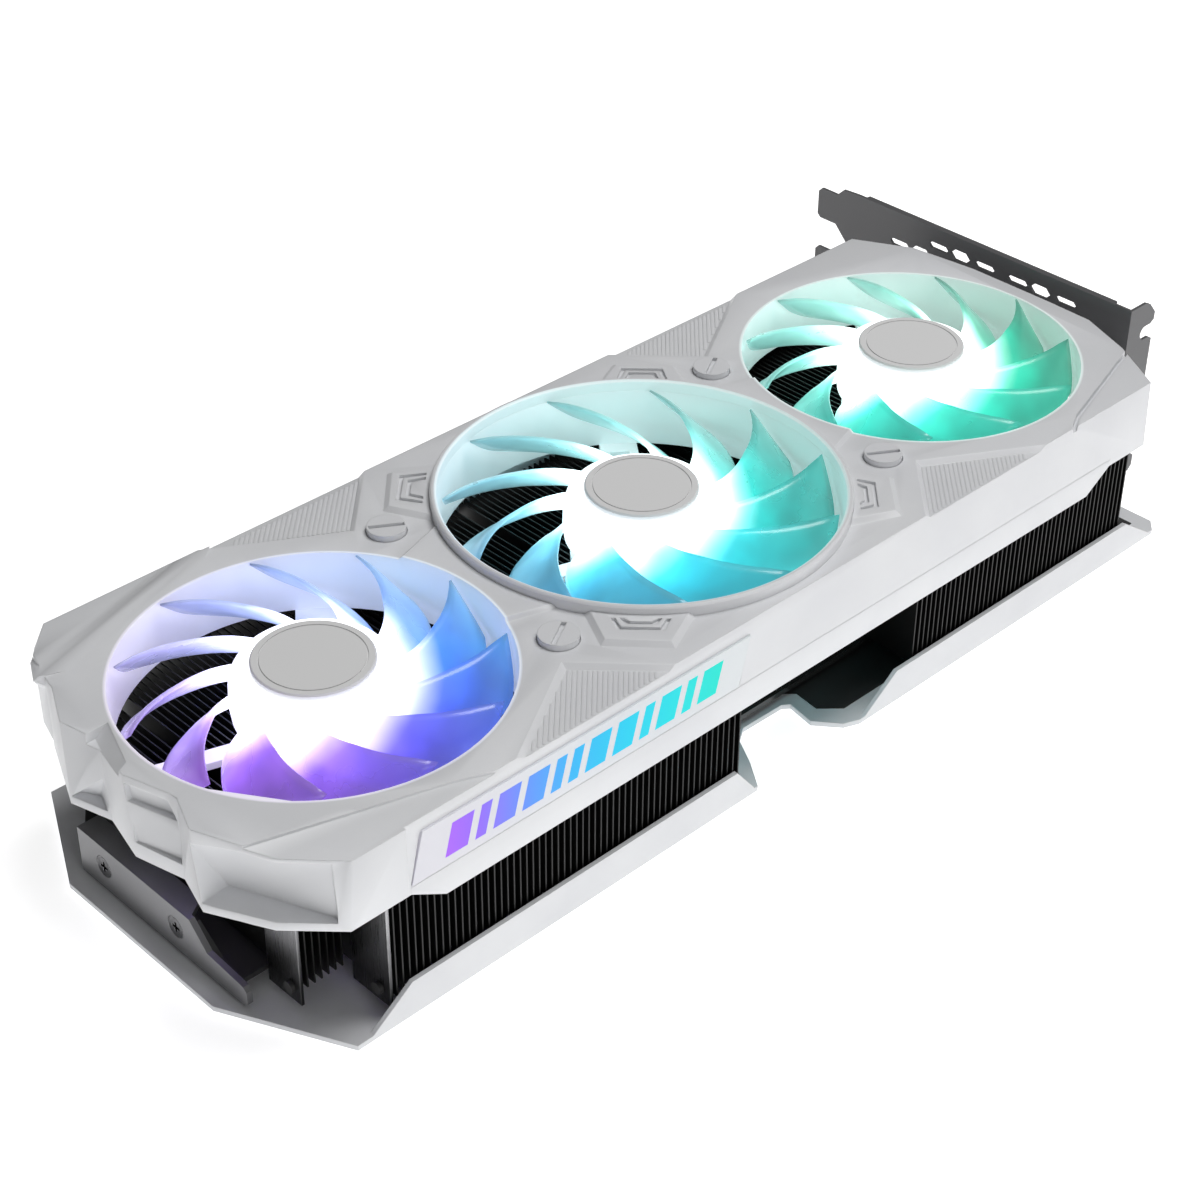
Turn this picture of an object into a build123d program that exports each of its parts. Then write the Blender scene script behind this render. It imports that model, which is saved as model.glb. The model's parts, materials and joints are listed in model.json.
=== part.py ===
"""Triple-fan graphics card, built piece by piece.

Millimetres, +Z towards the fans, +X towards the slot bracket, +Y towards the slot contacts.
The origin is on the outer face of the backplate, under the middle fan's axis.
"""
from build123d import *
import os
from math import cos, radians, sin, tan

os.makedirs("parts", exist_ok=True)

# ---------------------------------------------------------------- driving dimensions
FAN_PITCH = 108.0
TOP_Z = 56.0                 # flat top face of the shroud
SKIRT_Z = 36.0               # lower edge of the shroud at both ends
WALL_LOW_Z = 30.0            # lower edge of the shroud's long walls
DUCT_Z = 39.0                # lower edge of the fan ducts
HALF_Y = 58.0                # half width of shroud and backplate
SHELL = 2.0                  # shroud wall thickness
PLATE = 1.5                  # backplate thickness
FILM = 0.25                  # insulating film on the backplate
BOARD_Z = 3.2                # underside of the circuit board
BOARD = 1.6                  # circuit board thickness
FIN_TOP = 36.5
FIN_PITCH = 2.0
FIN = 0.4
PIPE_R = 3.0
PIPE_Z = 15.0
BRACKET_X = 168.0            # inner face of the slot bracket
SLOT_PITCH = 20.32           # pitch of expansion slots
BRACKET_THICK = 0.9

BOARD_TOP = BOARD_Z + BOARD
FANS = {"tail": (-FAN_PITCH, 48.0), "middle": (0.0, 53.0), "bracket": (FAN_PITCH, 48.0)}


def keep(piece, label):
    """Label a finished piece and write it to its own file."""
    piece.part.label = label
    export_step(piece.part, f"parts/{label}.step")


def mirrored(points, side_x, side_y):
    """Points of an outline given for one quadrant, moved to another with the same sense of turning."""
    moved = [(side_x * x, side_y * y) for x, y in points]
    return moved if side_x * side_y > 0 else moved[::-1]


# ---------------------------------------------------------------- shroud
lower_outline = [(-143, -58), (143.8, -58), (154, -41), (161, -24), (162, -8), (162, 20), (159, 42),
                 (149.3, 59), (-143.8, 59), (-154, 50), (-158, 38), (-165, 20), (-161.5, 8), (-165, -6),
                 (-161.5, -20), (-165, -31), (-157, -46.5), (-147, -56.5)]
top_outline = [(-143, -57.2), (143.8, -57.2), (154, -40), (160.5, -23.5), (161, -8), (161, 20), (158.5, 41),
               (149.3, 58), (-143.8, 58.5), (-153, 49.5), (-156, 38), (-159.5, 18), (-158.5, 8), (-160, -5),
               (-159, -17), (-161, -28), (-155, -44), (-146, -55)]
cavity_outline = [(-142, -56.7), (142, -56.7), (151.5, -40), (158, -23), (159, -8), (159, 20), (156.5, 40),
                  (148, 56.5), (-143, 56.5), (-151, 48.5), (-153.5, 38), (-156, 18), (-156, -28), (-152, -43),
                  (-144, -54)]
BOSS_PLACES = [(-58.6, -30.9), (-58.6, 32.6), (59.4, -31.2), (59.4, 31.9)]
BOSS_R = 5.1
BOSS_GAP = 0.25
BOSS_RISE = 1.6
RELIEF = 1.2
RING_R = 54.8
# nested marks: width, depth, radius of their open ends, how much they widen there,
# and for each long side the reach and the half width of the outer and the inner one
MARK = 1.1
MARK_DEEP = 0.8
MARK_START = 56.2
MARK_SPREAD = 1.5
MARKS = {-1: ((60.9, 5.8), (58.6, 3.7)), 1: ((63.2, 5.8), (60.9, 3.7))}


def turned(points, degrees):
    """Flat points turned about the origin."""
    c, s = cos(radians(degrees)), sin(radians(degrees))
    return [(x * c - y * s, x * s + y * c) for x, y in points]

with BuildPart() as shroud:
    with BuildSketch(Plane.XY.offset(SKIRT_Z)):
        with BuildLine():
            Polyline(*lower_outline, close=True)
        make_face()
    with BuildSketch(Plane.XY.offset(TOP_Z)):
        with BuildLine():
            Polyline(*top_outline, close=True)
        make_face()
    loft(ruled=True)
    # the long walls reach lower between the two ends
    with BuildSketch(Plane.XZ.offset(HALF_Y)):
        with BuildLine():
            Polyline((-128.5, SKIRT_Z), (-118.5, WALL_LOW_Z), (118, WALL_LOW_Z), (127.5, SKIRT_Z),
                     (127.5, SKIRT_Z + 2), (-128.5, SKIRT_Z + 2), close=True)
        make_face()
    extrude(amount=-2 * HALF_Y - 1)
    # raised fields: the waists between the fans and the frames round the middle ring
    for side_x in (-1, 1):
        with BuildSketch(Plane.XY.offset(TOP_Z)):
            with BuildLine():
                Polyline(*mirrored([(46, -23), (66, -16.7), (66, 20.3), (46, 26.6)], side_x, 1), close=True)
            make_face()
        extrude(amount=RELIEF - 0.2, taper=45)
        for side_y in (-1, 1):
            with BuildSketch(Plane.XY.offset(TOP_Z)):
                with BuildLine():
                    Polyline(*mirrored([(20, 20), (44, 21), (53.5, 40), (41.3, 53), (22, 44)],
                                       side_x, side_y),
                             close=True)
                make_face()
            extrude(amount=RELIEF, taper=50)
    # sunk triangles that open to the long walls
    for side_x in (-1, 1):
        for side_y in (-1, 1):
            with BuildSketch(Plane.XY.offset(TOP_Z)):
                with BuildLine():
                    Polyline(*mirrored([(101, 60), (64.5, 38.2), (43, 60)], side_x, side_y), close=True)
                make_face()
            extrude(amount=-RELIEF, taper=50, mode=Mode.SUBTRACT)
    # cavity
    with BuildSketch(Plane.XY.offset(WALL_LOW_Z - 1)):
        with BuildLine():
            Polyline(*cavity_outline, close=True)
        make_face()
    extrude(amount=TOP_Z - SHELL - WALL_LOW_Z, mode=Mode.SUBTRACT)
    # fan ducts
    for fan_x, opening_r in FANS.values():
        with BuildSketch(Plane.XY.offset(DUCT_Z)):
            with Locations((fan_x, 0)):
                Circle(opening_r + SHELL)
        extrude(amount=TOP_Z - DUCT_Z)
    for fan_x, opening_r in FANS.values():
        with BuildSketch(Plane.XY.offset(WALL_LOW_Z - 1)):
            with Locations((fan_x, 0)):
                Circle(opening_r)
        extrude(amount=TOP_Z + 4 - WALL_LOW_Z, mode=Mode.SUBTRACT)
    # seat of the raised ring
    with BuildSketch(Plane.XY.offset(TOP_Z)):
        Circle(RING_R + 0.05)
    extrude(amount=4, mode=Mode.SUBTRACT)
    # seats of the slotted bosses
    with BuildSketch(Plane.XY.offset(TOP_Z - 1)):
        with Locations(*BOSS_PLACES):
            Circle(BOSS_R + BOSS_GAP)
    extrude(amount=4, mode=Mode.SUBTRACT)
    # two nested marks on each frame, open towards the ring
    for side_y, marks in MARKS.items():
        for angle in (45 * side_y, 135 * side_y):
            for reach, half in marks:
                wide = half + MARK_SPREAD
                channel = [(MARK_START, -wide), (reach, -half), (reach, half), (MARK_START, wide),
                           (MARK_START, wide - MARK), (reach - MARK, half - MARK),
                           (reach - MARK, MARK - half), (MARK_START, MARK - wide)]
                with BuildSketch(Plane.XY.offset(TOP_Z + RELIEF - MARK_DEEP)):
                    with BuildLine():
                        Polyline(*turned(channel, angle), close=True)
                    make_face()
                extrude(amount=MARK_DEEP + 0.2, mode=Mode.SUBTRACT)
    # window of the light diffuser in the near wall
    with BuildSketch(Plane.XZ.offset(HALF_Y + 1)):
        with BuildLine():
            Polyline((-128.5, 38.5), (-23.5, 38.5), (-20, 51.5), (-125, 51.5), close=True)
        make_face()
    extrude(amount=-1.8, mode=Mode.SUBTRACT)
    # parting groove at the bracket end
    with BuildSketch(Plane.XY.offset(TOP_Z - 1.5)):
        with BuildLine():
            Polyline((108, -56.8), (115, -53.2), (162, -39), (162, -40.2), (115.2, -54.4),
                     (108.4, -58), close=True)
        make_face()
    extrude(amount=3, mode=Mode.SUBTRACT)
keep(shroud, "shroud")

with BuildPart() as light_diffuser:
    with BuildSketch(Plane.XZ.offset(HALF_Y - 0.8)):
        with BuildLine():
            Polyline((-128.1, 38.9), (-23.8, 38.9), (-20.6, 51.1), (-124.8, 51.1), close=True)
        make_face()
    extrude(amount=0.7)
keep(light_diffuser, "light_diffuser")

# strip of light sources on the inner side of the near wall
with BuildPart() as light_strip:
    with BuildSketch(Plane.XZ.offset(HALF_Y - SHELL)):
        with Locations((-74, 45)):
            Rectangle(96, 6)
    extrude(amount=-0.8)
    with BuildSketch(Plane.XZ.offset(HALF_Y - SHELL - 0.8)):
        with Locations((-74, 45)):
            with GridLocations(8, 1, 12, 1):
                Rectangle(3, 3)
    extrude(amount=-0.7)
keep(light_strip, "light_strip")

with BuildPart() as ring_trim:
    with BuildSketch(Plane.XY.offset(TOP_Z)):
        Circle(RING_R)
        Circle(FANS["middle"][1], mode=Mode.SUBTRACT)
    extrude(amount=3.3)
    chamfer(ring_trim.edges().filter_by(GeomType.CIRCLE).group_by(Axis.Z)[-1], 0.5)
keep(ring_trim, "ring_trim")

with BuildPart() as slotted_bosses:
    with BuildSketch(Plane.XY.offset(TOP_Z - 1)):
        with Locations(*BOSS_PLACES):
            Circle(BOSS_R)
    extrude(amount=1 + BOSS_RISE)
    with BuildSketch(Plane.XY.offset(TOP_Z + BOSS_RISE)):
        with Locations(*[Location((x, y, 0), (0, 0, 30 if x * y > 0 else -32)) for x, y in BOSS_PLACES]):
            Rectangle(2 * BOSS_R - 1.0, 1.3)
    extrude(amount=-0.9, mode=Mode.SUBTRACT)
keep(slotted_bosses, "slotted_bosses")

# ---------------------------------------------------------------- fans
BLADES = 11
HUB_R = 19.5
HUB_TOP = 58.0
HUB_LOW = 43.0
CAP_R = 14.9
SHAFT_R = 1.5
STATOR_R = 13.8
FRAME_LOW = 37.0
FRAME_HIGH = DUCT_Z
LEAD_STRUT = 52.0            # direction of the strut that carries the lead
STRUT_STEP = 110.0
BEARING_R = 4.0
MAGNET_R = 16.8


def blade_section(radius, sweep, chord, pitch, middle_z):
    """Plane and chord of one blade section, square to the radius at its own angle."""
    turn = radians(sweep)
    outward = Vector(cos(turn), sin(turn), 0)
    tangent = Vector(-sin(turn), cos(turn), 0)
    along = tangent * cos(radians(pitch)) + Vector(0, 0, 1) * sin(radians(pitch))
    return Plane(origin=outward * radius + Vector(0, 0, middle_z), x_dir=along, z_dir=outward), chord


def blade_for(tip_r):
    """One swept blade, from inside the hub wall to its tip."""
    span = tip_r - HUB_R + 1.0
    sections = [blade_section(HUB_R - 1.0, 0, 13.0, 52, 50.2),
                blade_section(HUB_R - 1.0 + 0.4 * span, 8, 15.0, 42, 50.6),
                blade_section(HUB_R - 1.0 + 0.75 * span, 19, 14.0, 38, 51.2),
                blade_section(tip_r, 31, 8.0, 34, 52.4)]
    with BuildPart() as blade:
        for plane, chord in sections:
            with BuildSketch(plane):
                Rectangle(chord, 1.3)
        loft(ruled=True)
    return blade.part


for fan_name, (fan_x, opening_r) in FANS.items():
    centre = Location((fan_x, 0, 0))
    blade_part = blade_for(opening_r - 2.2)

    with BuildPart() as rotor:
        with BuildSketch(Plane.XY.offset(HUB_LOW)):
            Circle(HUB_R)
        extrude(amount=HUB_TOP - HUB_LOW)
        fillet(rotor.edges().group_by(Axis.Z)[-1], 2.0)
        with BuildSketch(Plane.XY.offset(HUB_LOW)):
            Circle(MAGNET_R)
        extrude(amount=9.0, mode=Mode.SUBTRACT)
        with PolarLocations(0, BLADES):
            add(blade_part)
        # bore of the motor cup again, clear of the blade roots, then cap seat and shaft hole
        with BuildSketch(Plane.XY.offset(HUB_LOW - 3)):
            Circle(MAGNET_R)
        extrude(amount=12.0, mode=Mode.SUBTRACT)
        with BuildSketch(Plane.XY.offset(HUB_TOP - 1)):
            Circle(CAP_R)
        extrude(amount=1.0, mode=Mode.SUBTRACT)
        with BuildSketch(Plane.XY.offset(HUB_LOW)):
            Circle(SHAFT_R)
        extrude(amount=13.0, mode=Mode.SUBTRACT)
    rotor.part.location = centre
    keep(rotor, f"rotor_{fan_name}")

    with BuildPart() as hub_cap:
        with BuildSketch(Plane.XY.offset(HUB_TOP - 1)):
            with Locations((fan_x, 0)):
                Circle(CAP_R)
        extrude(amount=2.3)
        chamfer(hub_cap.edges().group_by(Axis.Z)[-1], 0.4)
        with BuildSketch(Plane.XY.offset(HUB_TOP + 1.3)):
            with Locations((fan_x, 0)):
                Circle(13.0)
                Circle(12.6, mode=Mode.SUBTRACT)
        extrude(amount=-0.3, mode=Mode.SUBTRACT)
    keep(hub_cap, f"hub_cap_{fan_name}")

    with BuildPart() as magnet_ring:
        with BuildSketch(Plane.XY.offset(HUB_LOW + 0.5)):
            with Locations((fan_x, 0)):
                Circle(MAGNET_R)
                Circle(STATOR_R + 0.7, mode=Mode.SUBTRACT)
        extrude(amount=8.0)
    keep(magnet_ring, f"magnet_ring_{fan_name}")

    with BuildPart() as shaft:
        with BuildSketch(Plane.XY.offset(FRAME_HIGH + 1.3)):
            with Locations((fan_x, 0)):
                Circle(SHAFT_R)
        extrude(amount=HUB_LOW + 13.0 - FRAME_HIGH - 1.3)
    keep(shaft, f"shaft_{fan_name}")

    with BuildPart() as bearing:
        with BuildSketch(Plane.XY.offset(FRAME_HIGH + 1.0)):
            with Locations((fan_x, 0)):
                Circle(BEARING_R - 1.0)
                Circle(SHAFT_R + 0.05, mode=Mode.SUBTRACT)
        extrude(amount=10.0)
    keep(bearing, f"bearing_{fan_name}")

    # frame: motor base, three struts to the duct's edge, bearing tube
    with BuildPart() as fan_frame:
        with BuildSketch(Plane.XY.offset(FRAME_LOW)):
            Circle(HUB_R - 1.0)
            for strut in (-1, 0, 1):
                with Locations(Location((0, 0, 0), (0, 0, LEAD_STRUT + STRUT_STEP * strut))):
                    with Locations(((opening_r + SHELL) / 2, 0)):
                        Rectangle(opening_r + SHELL, 10.5 if strut == 0 else 5.0)
            Circle(opening_r + SHELL - 0.6, mode=Mode.INTERSECT)
        extrude(amount=FRAME_HIGH - FRAME_LOW)
        with BuildSketch(Plane.XY.offset(FRAME_LOW)):
            with Locations(Location((0, 0, 0), (0, 0, LEAD_STRUT))):
                with Locations((opening_r - 8, 0)):
                    Rectangle(7, 5.4)
        extrude(amount=FRAME_HIGH - FRAME_LOW, mode=Mode.SUBTRACT)
        with BuildSketch(Plane.XY.offset(FRAME_HIGH)):
            Circle(BEARING_R)
        extrude(amount=11.0)
        with BuildSketch(Plane.XY.offset(FRAME_HIGH + 1.0)):
            Circle(BEARING_R - 1.0)
        extrude(amount=10.0, mode=Mode.SUBTRACT)
    fan_frame.part.location = centre
    keep(fan_frame, f"fan_frame_{fan_name}")

    # stator: core with six poles and its coils' outline
    with BuildPart() as stator:
        with BuildSketch(Plane.XY.offset(FRAME_HIGH + 2.5)):
            Circle(7.0)
            with PolarLocations(0, 6):
                with Locations((9.5, 0)):
                    Rectangle(8.0, 3.4)
            with PolarLocations(12.6, 6):
                Rectangle(2.2, 8.6)
            Circle(STATOR_R, mode=Mode.INTERSECT)
            Circle(BEARING_R, mode=Mode.SUBTRACT)
        extrude(amount=7.5)
    stator.part.location = centre
    keep(stator, f"stator_{fan_name}")

# leads from the fan frames down the far side to the board
LEAD_R = 0.9
LEAD_Y = 55.2
lead_routes = {
    "tail": [(-77.49, 39.05, 37.95), (-71, 47.3, 38.8), (-62, LEAD_Y, 38.4), (-46, LEAD_Y, 29),
             (-28, 55.6, 19),
             (-14, 57, 12.5), (-8, 62, 8.8)],
    "middle": [(33.57, 42.97, 37.95), (38, 49.5, 39), (40.5, LEAD_Y, 37.5), (40.8, LEAD_Y, 25), (40, 57, 14),
               (40, 62, 8.8)],
    "bracket": [(138.52, 39.06, 37.95), (144, 46.2, 38.6), (145, 54.6, 37.5), (141, LEAD_Y, 26),
                (134, 56.5, 15),
                (130, 62, 8.8)],
}
for fan_name, route in lead_routes.items():
    runs = [Vector(*b) - Vector(*a) for a, b in zip(route, route[1:])]
    radii = [0.45 * min(one.length, two.length) / tan(radians(one.get_angle(two) / 2))
             for one, two in zip(runs, runs[1:])]
    with BuildPart() as fan_lead:
        with BuildLine() as path:
            FilletPolyline(*route, radius=radii)
        with BuildSketch(Plane(origin=path.line @ 0, z_dir=path.line % 0)):
            Circle(LEAD_R)
        sweep(transition=Transition.ROUND)
    keep(fan_lead, f"fan_lead_{fan_name}")
    print(fan_name, "lead radii", [round(value, 1) for value in radii])

with BuildPart() as lead_plugs:
    with BuildSketch(Plane.XY.offset(BOARD_TOP)):
        with Locations(*[route[-1][:2] for route in lead_routes.values()]):
            Rectangle(7.5, 4.6)
    extrude(amount=8.8 - LEAD_R - BOARD_TOP)
keep(lead_plugs, "lead_plugs")

# ---------------------------------------------------------------- heatsink
PIPE_YS = [-21.0, -11.0, -1.0, 9.0, 19.0, 29.0]
FIN_NEAR_Y = -56.4
FIN_FAR_Y = 53.2


def fin_block(xs, profile, pipes):
    """A stack of equal fins: one outline in the YZ plane, repeated along X."""
    with BuildPart() as stack:
        with BuildSketch(*[Plane.YZ.offset(x) for x in xs]):
            with BuildLine():
                Polyline(*profile, close=True)
            make_face()
            with Locations(*[(y, PIPE_Z) for y in pipes]):
                Circle(PIPE_R + 0.02, mode=Mode.SUBTRACT)
        extrude(amount=FIN)
    return stack


def steps(first, last):
    """Fin positions from first to last at the fin pitch."""
    return [first + FIN_PITCH * k for k in range(int((last - first) / FIN_PITCH) + 1)]


TAIL_FIRST = -133.0
TAIL_LAST = -21.0
full_fin = [(FIN_NEAR_Y, 7), (FIN_FAR_Y, 7), (FIN_FAR_Y, FIN_TOP), (FIN_NEAR_Y, FIN_TOP)]
short_fin = [(-42, 9), (50, 9), (50, FIN_TOP), (-42, FIN_TOP)]
long_fins = fin_block(steps(TAIL_FIRST, TAIL_LAST), full_fin, PIPE_YS)
short_fins = fin_block(steps(-147.0, -137.0), short_fin, [])
with BuildPart() as fin_stack_tail:
    add(long_fins.part)
    add(short_fins.part)
keep(fin_stack_tail, "fin_stack_tail")

board_fin = [(-25.6, 12), (FIN_FAR_Y, 12), (FIN_FAR_Y, FIN_TOP), (-25.6, FIN_TOP)]
fin_stack_middle = fin_block(steps(-17.0, 43.0), board_fin, PIPE_YS)
keep(fin_stack_middle, "fin_stack_middle")

stepped_fin = [(FIN_NEAR_Y, 8), (-40.5, 8), (-40.5, 12), (FIN_FAR_Y, 12), (FIN_FAR_Y, FIN_TOP),
               (FIN_NEAR_Y, FIN_TOP)]
fin_stack_bracket = fin_block(steps(47.0, 139.0), stepped_fin, PIPE_YS)
keep(fin_stack_bracket, "fin_stack_bracket")

with BuildPart() as heat_pipes:
    with BuildSketch(Plane.YZ.offset(TAIL_FIRST - 1.6)):
        with Locations(*[(y, PIPE_Z) for y in PIPE_YS]):
            Circle(PIPE_R)
    extrude(amount=137 - TAIL_FIRST)
    chamfer(heat_pipes.edges().group_by(Axis.X)[0] + heat_pipes.edges().group_by(Axis.X)[-1], 1.2)
keep(heat_pipes, "heat_pipes")

GPU_X, GPU_Y = 66.0, 10.0
RETAINERS = [(GPU_X + dx, GPU_Y + dy) for dx in (-30, 30) for dy in (-30, 30)]
RETAINER_R = 1.2
DIE_TOP = 6.8
with BuildPart() as cold_plate:
    with BuildSketch(Plane.XY.offset(DIE_TOP)):
        with Locations((GPU_X, GPU_Y)):
            Rectangle(74, 80)
    extrude(amount=12.0 - DIE_TOP)
    chamfer(cold_plate.edges().group_by(Axis.Z)[-1], 0.8)
    with BuildSketch(Plane.XY.offset(DIE_TOP)):
        with Locations(*RETAINERS):
            Circle(RETAINER_R + 0.1)
    extrude(amount=3.2, mode=Mode.SUBTRACT)
keep(cold_plate, "cold_plate")

# bright end plates that close the stepped tail of the heatsink
with BuildPart() as fin_end_plates:
    with BuildSketch(Plane.YZ.offset(TAIL_FIRST - 1.8)):
        with BuildLine():
            Polyline((FIN_NEAR_Y, 4.5), (-43, 4.5), (-43, FIN_TOP), (FIN_NEAR_Y, FIN_TOP), close=True)
        make_face()
    extrude(amount=0.8)
    with BuildSketch(Plane.YZ.offset(-149.0)):
        with BuildLine():
            Polyline((-42, 4.5), (-30, 4.5), (-30, FIN_TOP - 1), (-42, FIN_TOP - 1), close=True)
        make_face()
    extrude(amount=0.8)
keep(fin_end_plates, "fin_end_plates")

with BuildPart() as end_plate_screws:
    for plate_x, screw_y in ((TAIL_FIRST - 1.8, -52.5), (-149.0, -38.5)):
        with BuildSketch(Plane.YZ.offset(plate_x)):
            with Locations((screw_y, 8.5)):
                Circle(1.6)
        extrude(amount=-1.0)
keep(end_plate_screws, "end_plate_screws")

# ---------------------------------------------------------------- circuit board and what it carries
BOARD_NEAR, BOARD_FAR = -38.0, 75.0
FINGER_TIP = 83.25
BOARD_TAIL, BOARD_END = -20.0, 166.0
FINGERS_START = BRACKET_X - 43.0
FINGERS_END = FINGERS_START - 89.0
BOARD_SCREWS = [(-14, -32), (-14, 68), (GPU_X - 32, -34), (150, -32), (150, 70)]
BRACKET_SCREWS = [(161.5, -27.0), (161.5, 70.0)]

with BuildPart() as circuit_board:
    with BuildSketch(Plane.XY.offset(BOARD_Z)):
        with BuildLine():
            Polyline((BOARD_TAIL, BOARD_NEAR), (BOARD_END, BOARD_NEAR), (BOARD_END, BOARD_FAR),
                     (FINGERS_START, BOARD_FAR), (FINGERS_START, FINGER_TIP - 1),
                     (FINGERS_START - 1, FINGER_TIP), (FINGERS_START - 11, FINGER_TIP),
                     (FINGERS_START - 11.6, FINGER_TIP - 1), (FINGERS_START - 11.6, BOARD_FAR + 0.4),
                     (FINGERS_START - 13.4, BOARD_FAR + 0.4), (FINGERS_START - 13.4, FINGER_TIP - 1),
                     (FINGERS_START - 14, FINGER_TIP), (FINGERS_END + 1, FINGER_TIP),
                     (FINGERS_END, FINGER_TIP - 1), (FINGERS_END, BOARD_FAR + 2.4),
                     (FINGERS_END - 3.5, BOARD_FAR + 2.4), (FINGERS_END - 3.5, BOARD_FAR + 5.6),
                     (FINGERS_END - 8, BOARD_FAR + 5.6), (FINGERS_END - 8, BOARD_FAR),
                     (BOARD_TAIL, BOARD_FAR), close=True)
        make_face()
        with Locations(*BOARD_SCREWS, *RETAINERS, *BRACKET_SCREWS):
            Circle(1.6, mode=Mode.SUBTRACT)
    extrude(amount=BOARD)
keep(circuit_board, "circuit_board")

CONTACT = 0.1
contact_xs = [FINGERS_START - 1.5 - k for k in range(10)] + [FINGERS_START - 15.0 - k for k in range(72)]
with BuildPart() as edge_contacts:
    with BuildSketch(Plane.XY.offset(BOARD_TOP), Plane.XY.offset(BOARD_Z - CONTACT)):
        with Locations(*[(x, BOARD_FAR + 4.9) for x in contact_xs]):
            Rectangle(0.7, 4.4)
    extrude(amount=CONTACT)
keep(edge_contacts, "edge_contacts")

with BuildPart() as chip_package:
    with BuildSketch(Plane.XY.offset(BOARD_TOP)):
        with Locations((GPU_X, GPU_Y)):
            Rectangle(40, 40)
    extrude(amount=1.2)
keep(chip_package, "chip_package")

with BuildPart() as chip_die:
    with BuildSketch(Plane.XY.offset(BOARD_TOP + 1.2)):
        with Locations((GPU_X, GPU_Y)):
            Rectangle(21, 18)
    extrude(amount=DIE_TOP - BOARD_TOP - 1.2)
keep(chip_die, "chip_die")

memory_places = ([(GPU_X + dx, GPU_Y - 29) for dx in (-9, 9)] + [(GPU_X + dx, GPU_Y + 29) for dx in (-9, 9)]
                 + [(GPU_X + 30, GPU_Y + dy) for dy in (-9, 9)])
with BuildPart() as memory_chips:
    with BuildSketch(Plane.XY.offset(BOARD_TOP)):
        with Locations(*memory_places):
            Rectangle(14, 12)
    extrude(amount=1.1)
    chamfer(memory_chips.edges().group_by(Axis.Z)[-1], 0.2)
keep(memory_chips, "memory_chips")

with BuildPart() as thermal_pads:
    with BuildSketch(Plane.XY.offset(BOARD_TOP + 1.1)):
        with Locations(*memory_places):
            Rectangle(13, 11)
    extrude(amount=DIE_TOP - BOARD_TOP - 1.1)
    with BuildSketch(Plane.XY.offset(PLATE + FILM)):
        with Locations((GPU_X + 56, 10), (GPU_X - 50, 10)):
            Rectangle(14, 60)
    extrude(amount=BOARD_Z - PLATE - FILM)
keep(thermal_pads, "thermal_pads")

choke_places = [(GPU_X + 52, -28 + 11 * k) for k in range(7)] + [(GPU_X - 54, -12 + 11 * k) for k in range(5)]
with BuildPart() as power_chokes:
    with BuildSketch(Plane.XY.offset(BOARD_TOP)):
        with Locations(*choke_places):
            RectangleRounded(9, 9, 1)
    extrude(amount=6.0)
    chamfer(power_chokes.edges().group_by(Axis.Z)[-1], 0.4)
keep(power_chokes, "power_chokes")

with BuildPart() as power_stages:
    with BuildSketch(Plane.XY.offset(BOARD_TOP)):
        with Locations(*[(x + (9 if x > GPU_X else -9), y) for x, y in choke_places]):
            Rectangle(5, 6)
    extrude(amount=0.9)
keep(power_stages, "power_stages")

with BuildPart() as capacitors:
    with BuildSketch(Plane.XY.offset(BOARD_TOP)):
        with Locations(*[(138, -26 + 9 * k) for k in range(8)], *[(-6, -12 + 9 * k) for k in range(6)]):
            Circle(3.1)
    extrude(amount=5.8)
    fillet(capacitors.edges().group_by(Axis.Z)[-1], 0.5)
keep(capacitors, "capacitors")

# power socket: open towards the near side
SOCKET_X, SOCKET_MOUTH_Y, SOCKET_DEEP = 18.0, -36.6, 10.6
SOCKET_WIDE, SOCKET_HIGH = 20.6, 8.4
with BuildPart() as power_socket:
    with BuildSketch(Plane.XZ.offset(-SOCKET_MOUTH_Y)):
        with Locations((SOCKET_X, BOARD_TOP + SOCKET_HIGH / 2)):
            Rectangle(SOCKET_WIDE, SOCKET_HIGH)
    extrude(amount=-SOCKET_DEEP)
    with BuildSketch(Plane.XZ.offset(-SOCKET_MOUTH_Y)):
        with Locations((SOCKET_X, BOARD_TOP + SOCKET_HIGH / 2)):
            Rectangle(SOCKET_WIDE - 1.7, SOCKET_HIGH - 1.7)
    extrude(amount=-SOCKET_DEEP + 2.0, mode=Mode.SUBTRACT)
keep(power_socket, "power_socket")

with BuildPart() as power_pins:
    with BuildSketch(Plane.XZ.offset(-SOCKET_MOUTH_Y - SOCKET_DEEP + 2.0)):
        with Locations((SOCKET_X, BOARD_TOP + SOCKET_HIGH / 2)):
            with GridLocations(3.0, 3.0, 6, 2):
                Rectangle(0.9, 0.9)
    extrude(amount=4.4)
keep(power_pins, "power_pins")

# ---------------------------------------------------------------- backplate side
plate_outline = [(-162, -25.5), (-146, -HALF_Y), (-14.6, -HALF_Y), (-9, -50), (-4.5, -42), (0, -39.2),
                 (14.5, -39.5), (16.5, -41), (15, -49.5), (20.5, -56.2), (25, -HALF_Y), (156, -HALF_Y),
                 (159.5, -55), (159.5, 60), (156, 64), (-146, 64), (-162, 32)]
plate_window = (72, 72)
FLANGE_TOP = 10.2
FLANGE = 1.2
vent_rows = [(-118 + 21 * k, y) for k in range(4) for y in (-24, 0, 24)]
plate_screws = [(-128, -46), (-128, 52), *BOARD_SCREWS]

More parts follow.
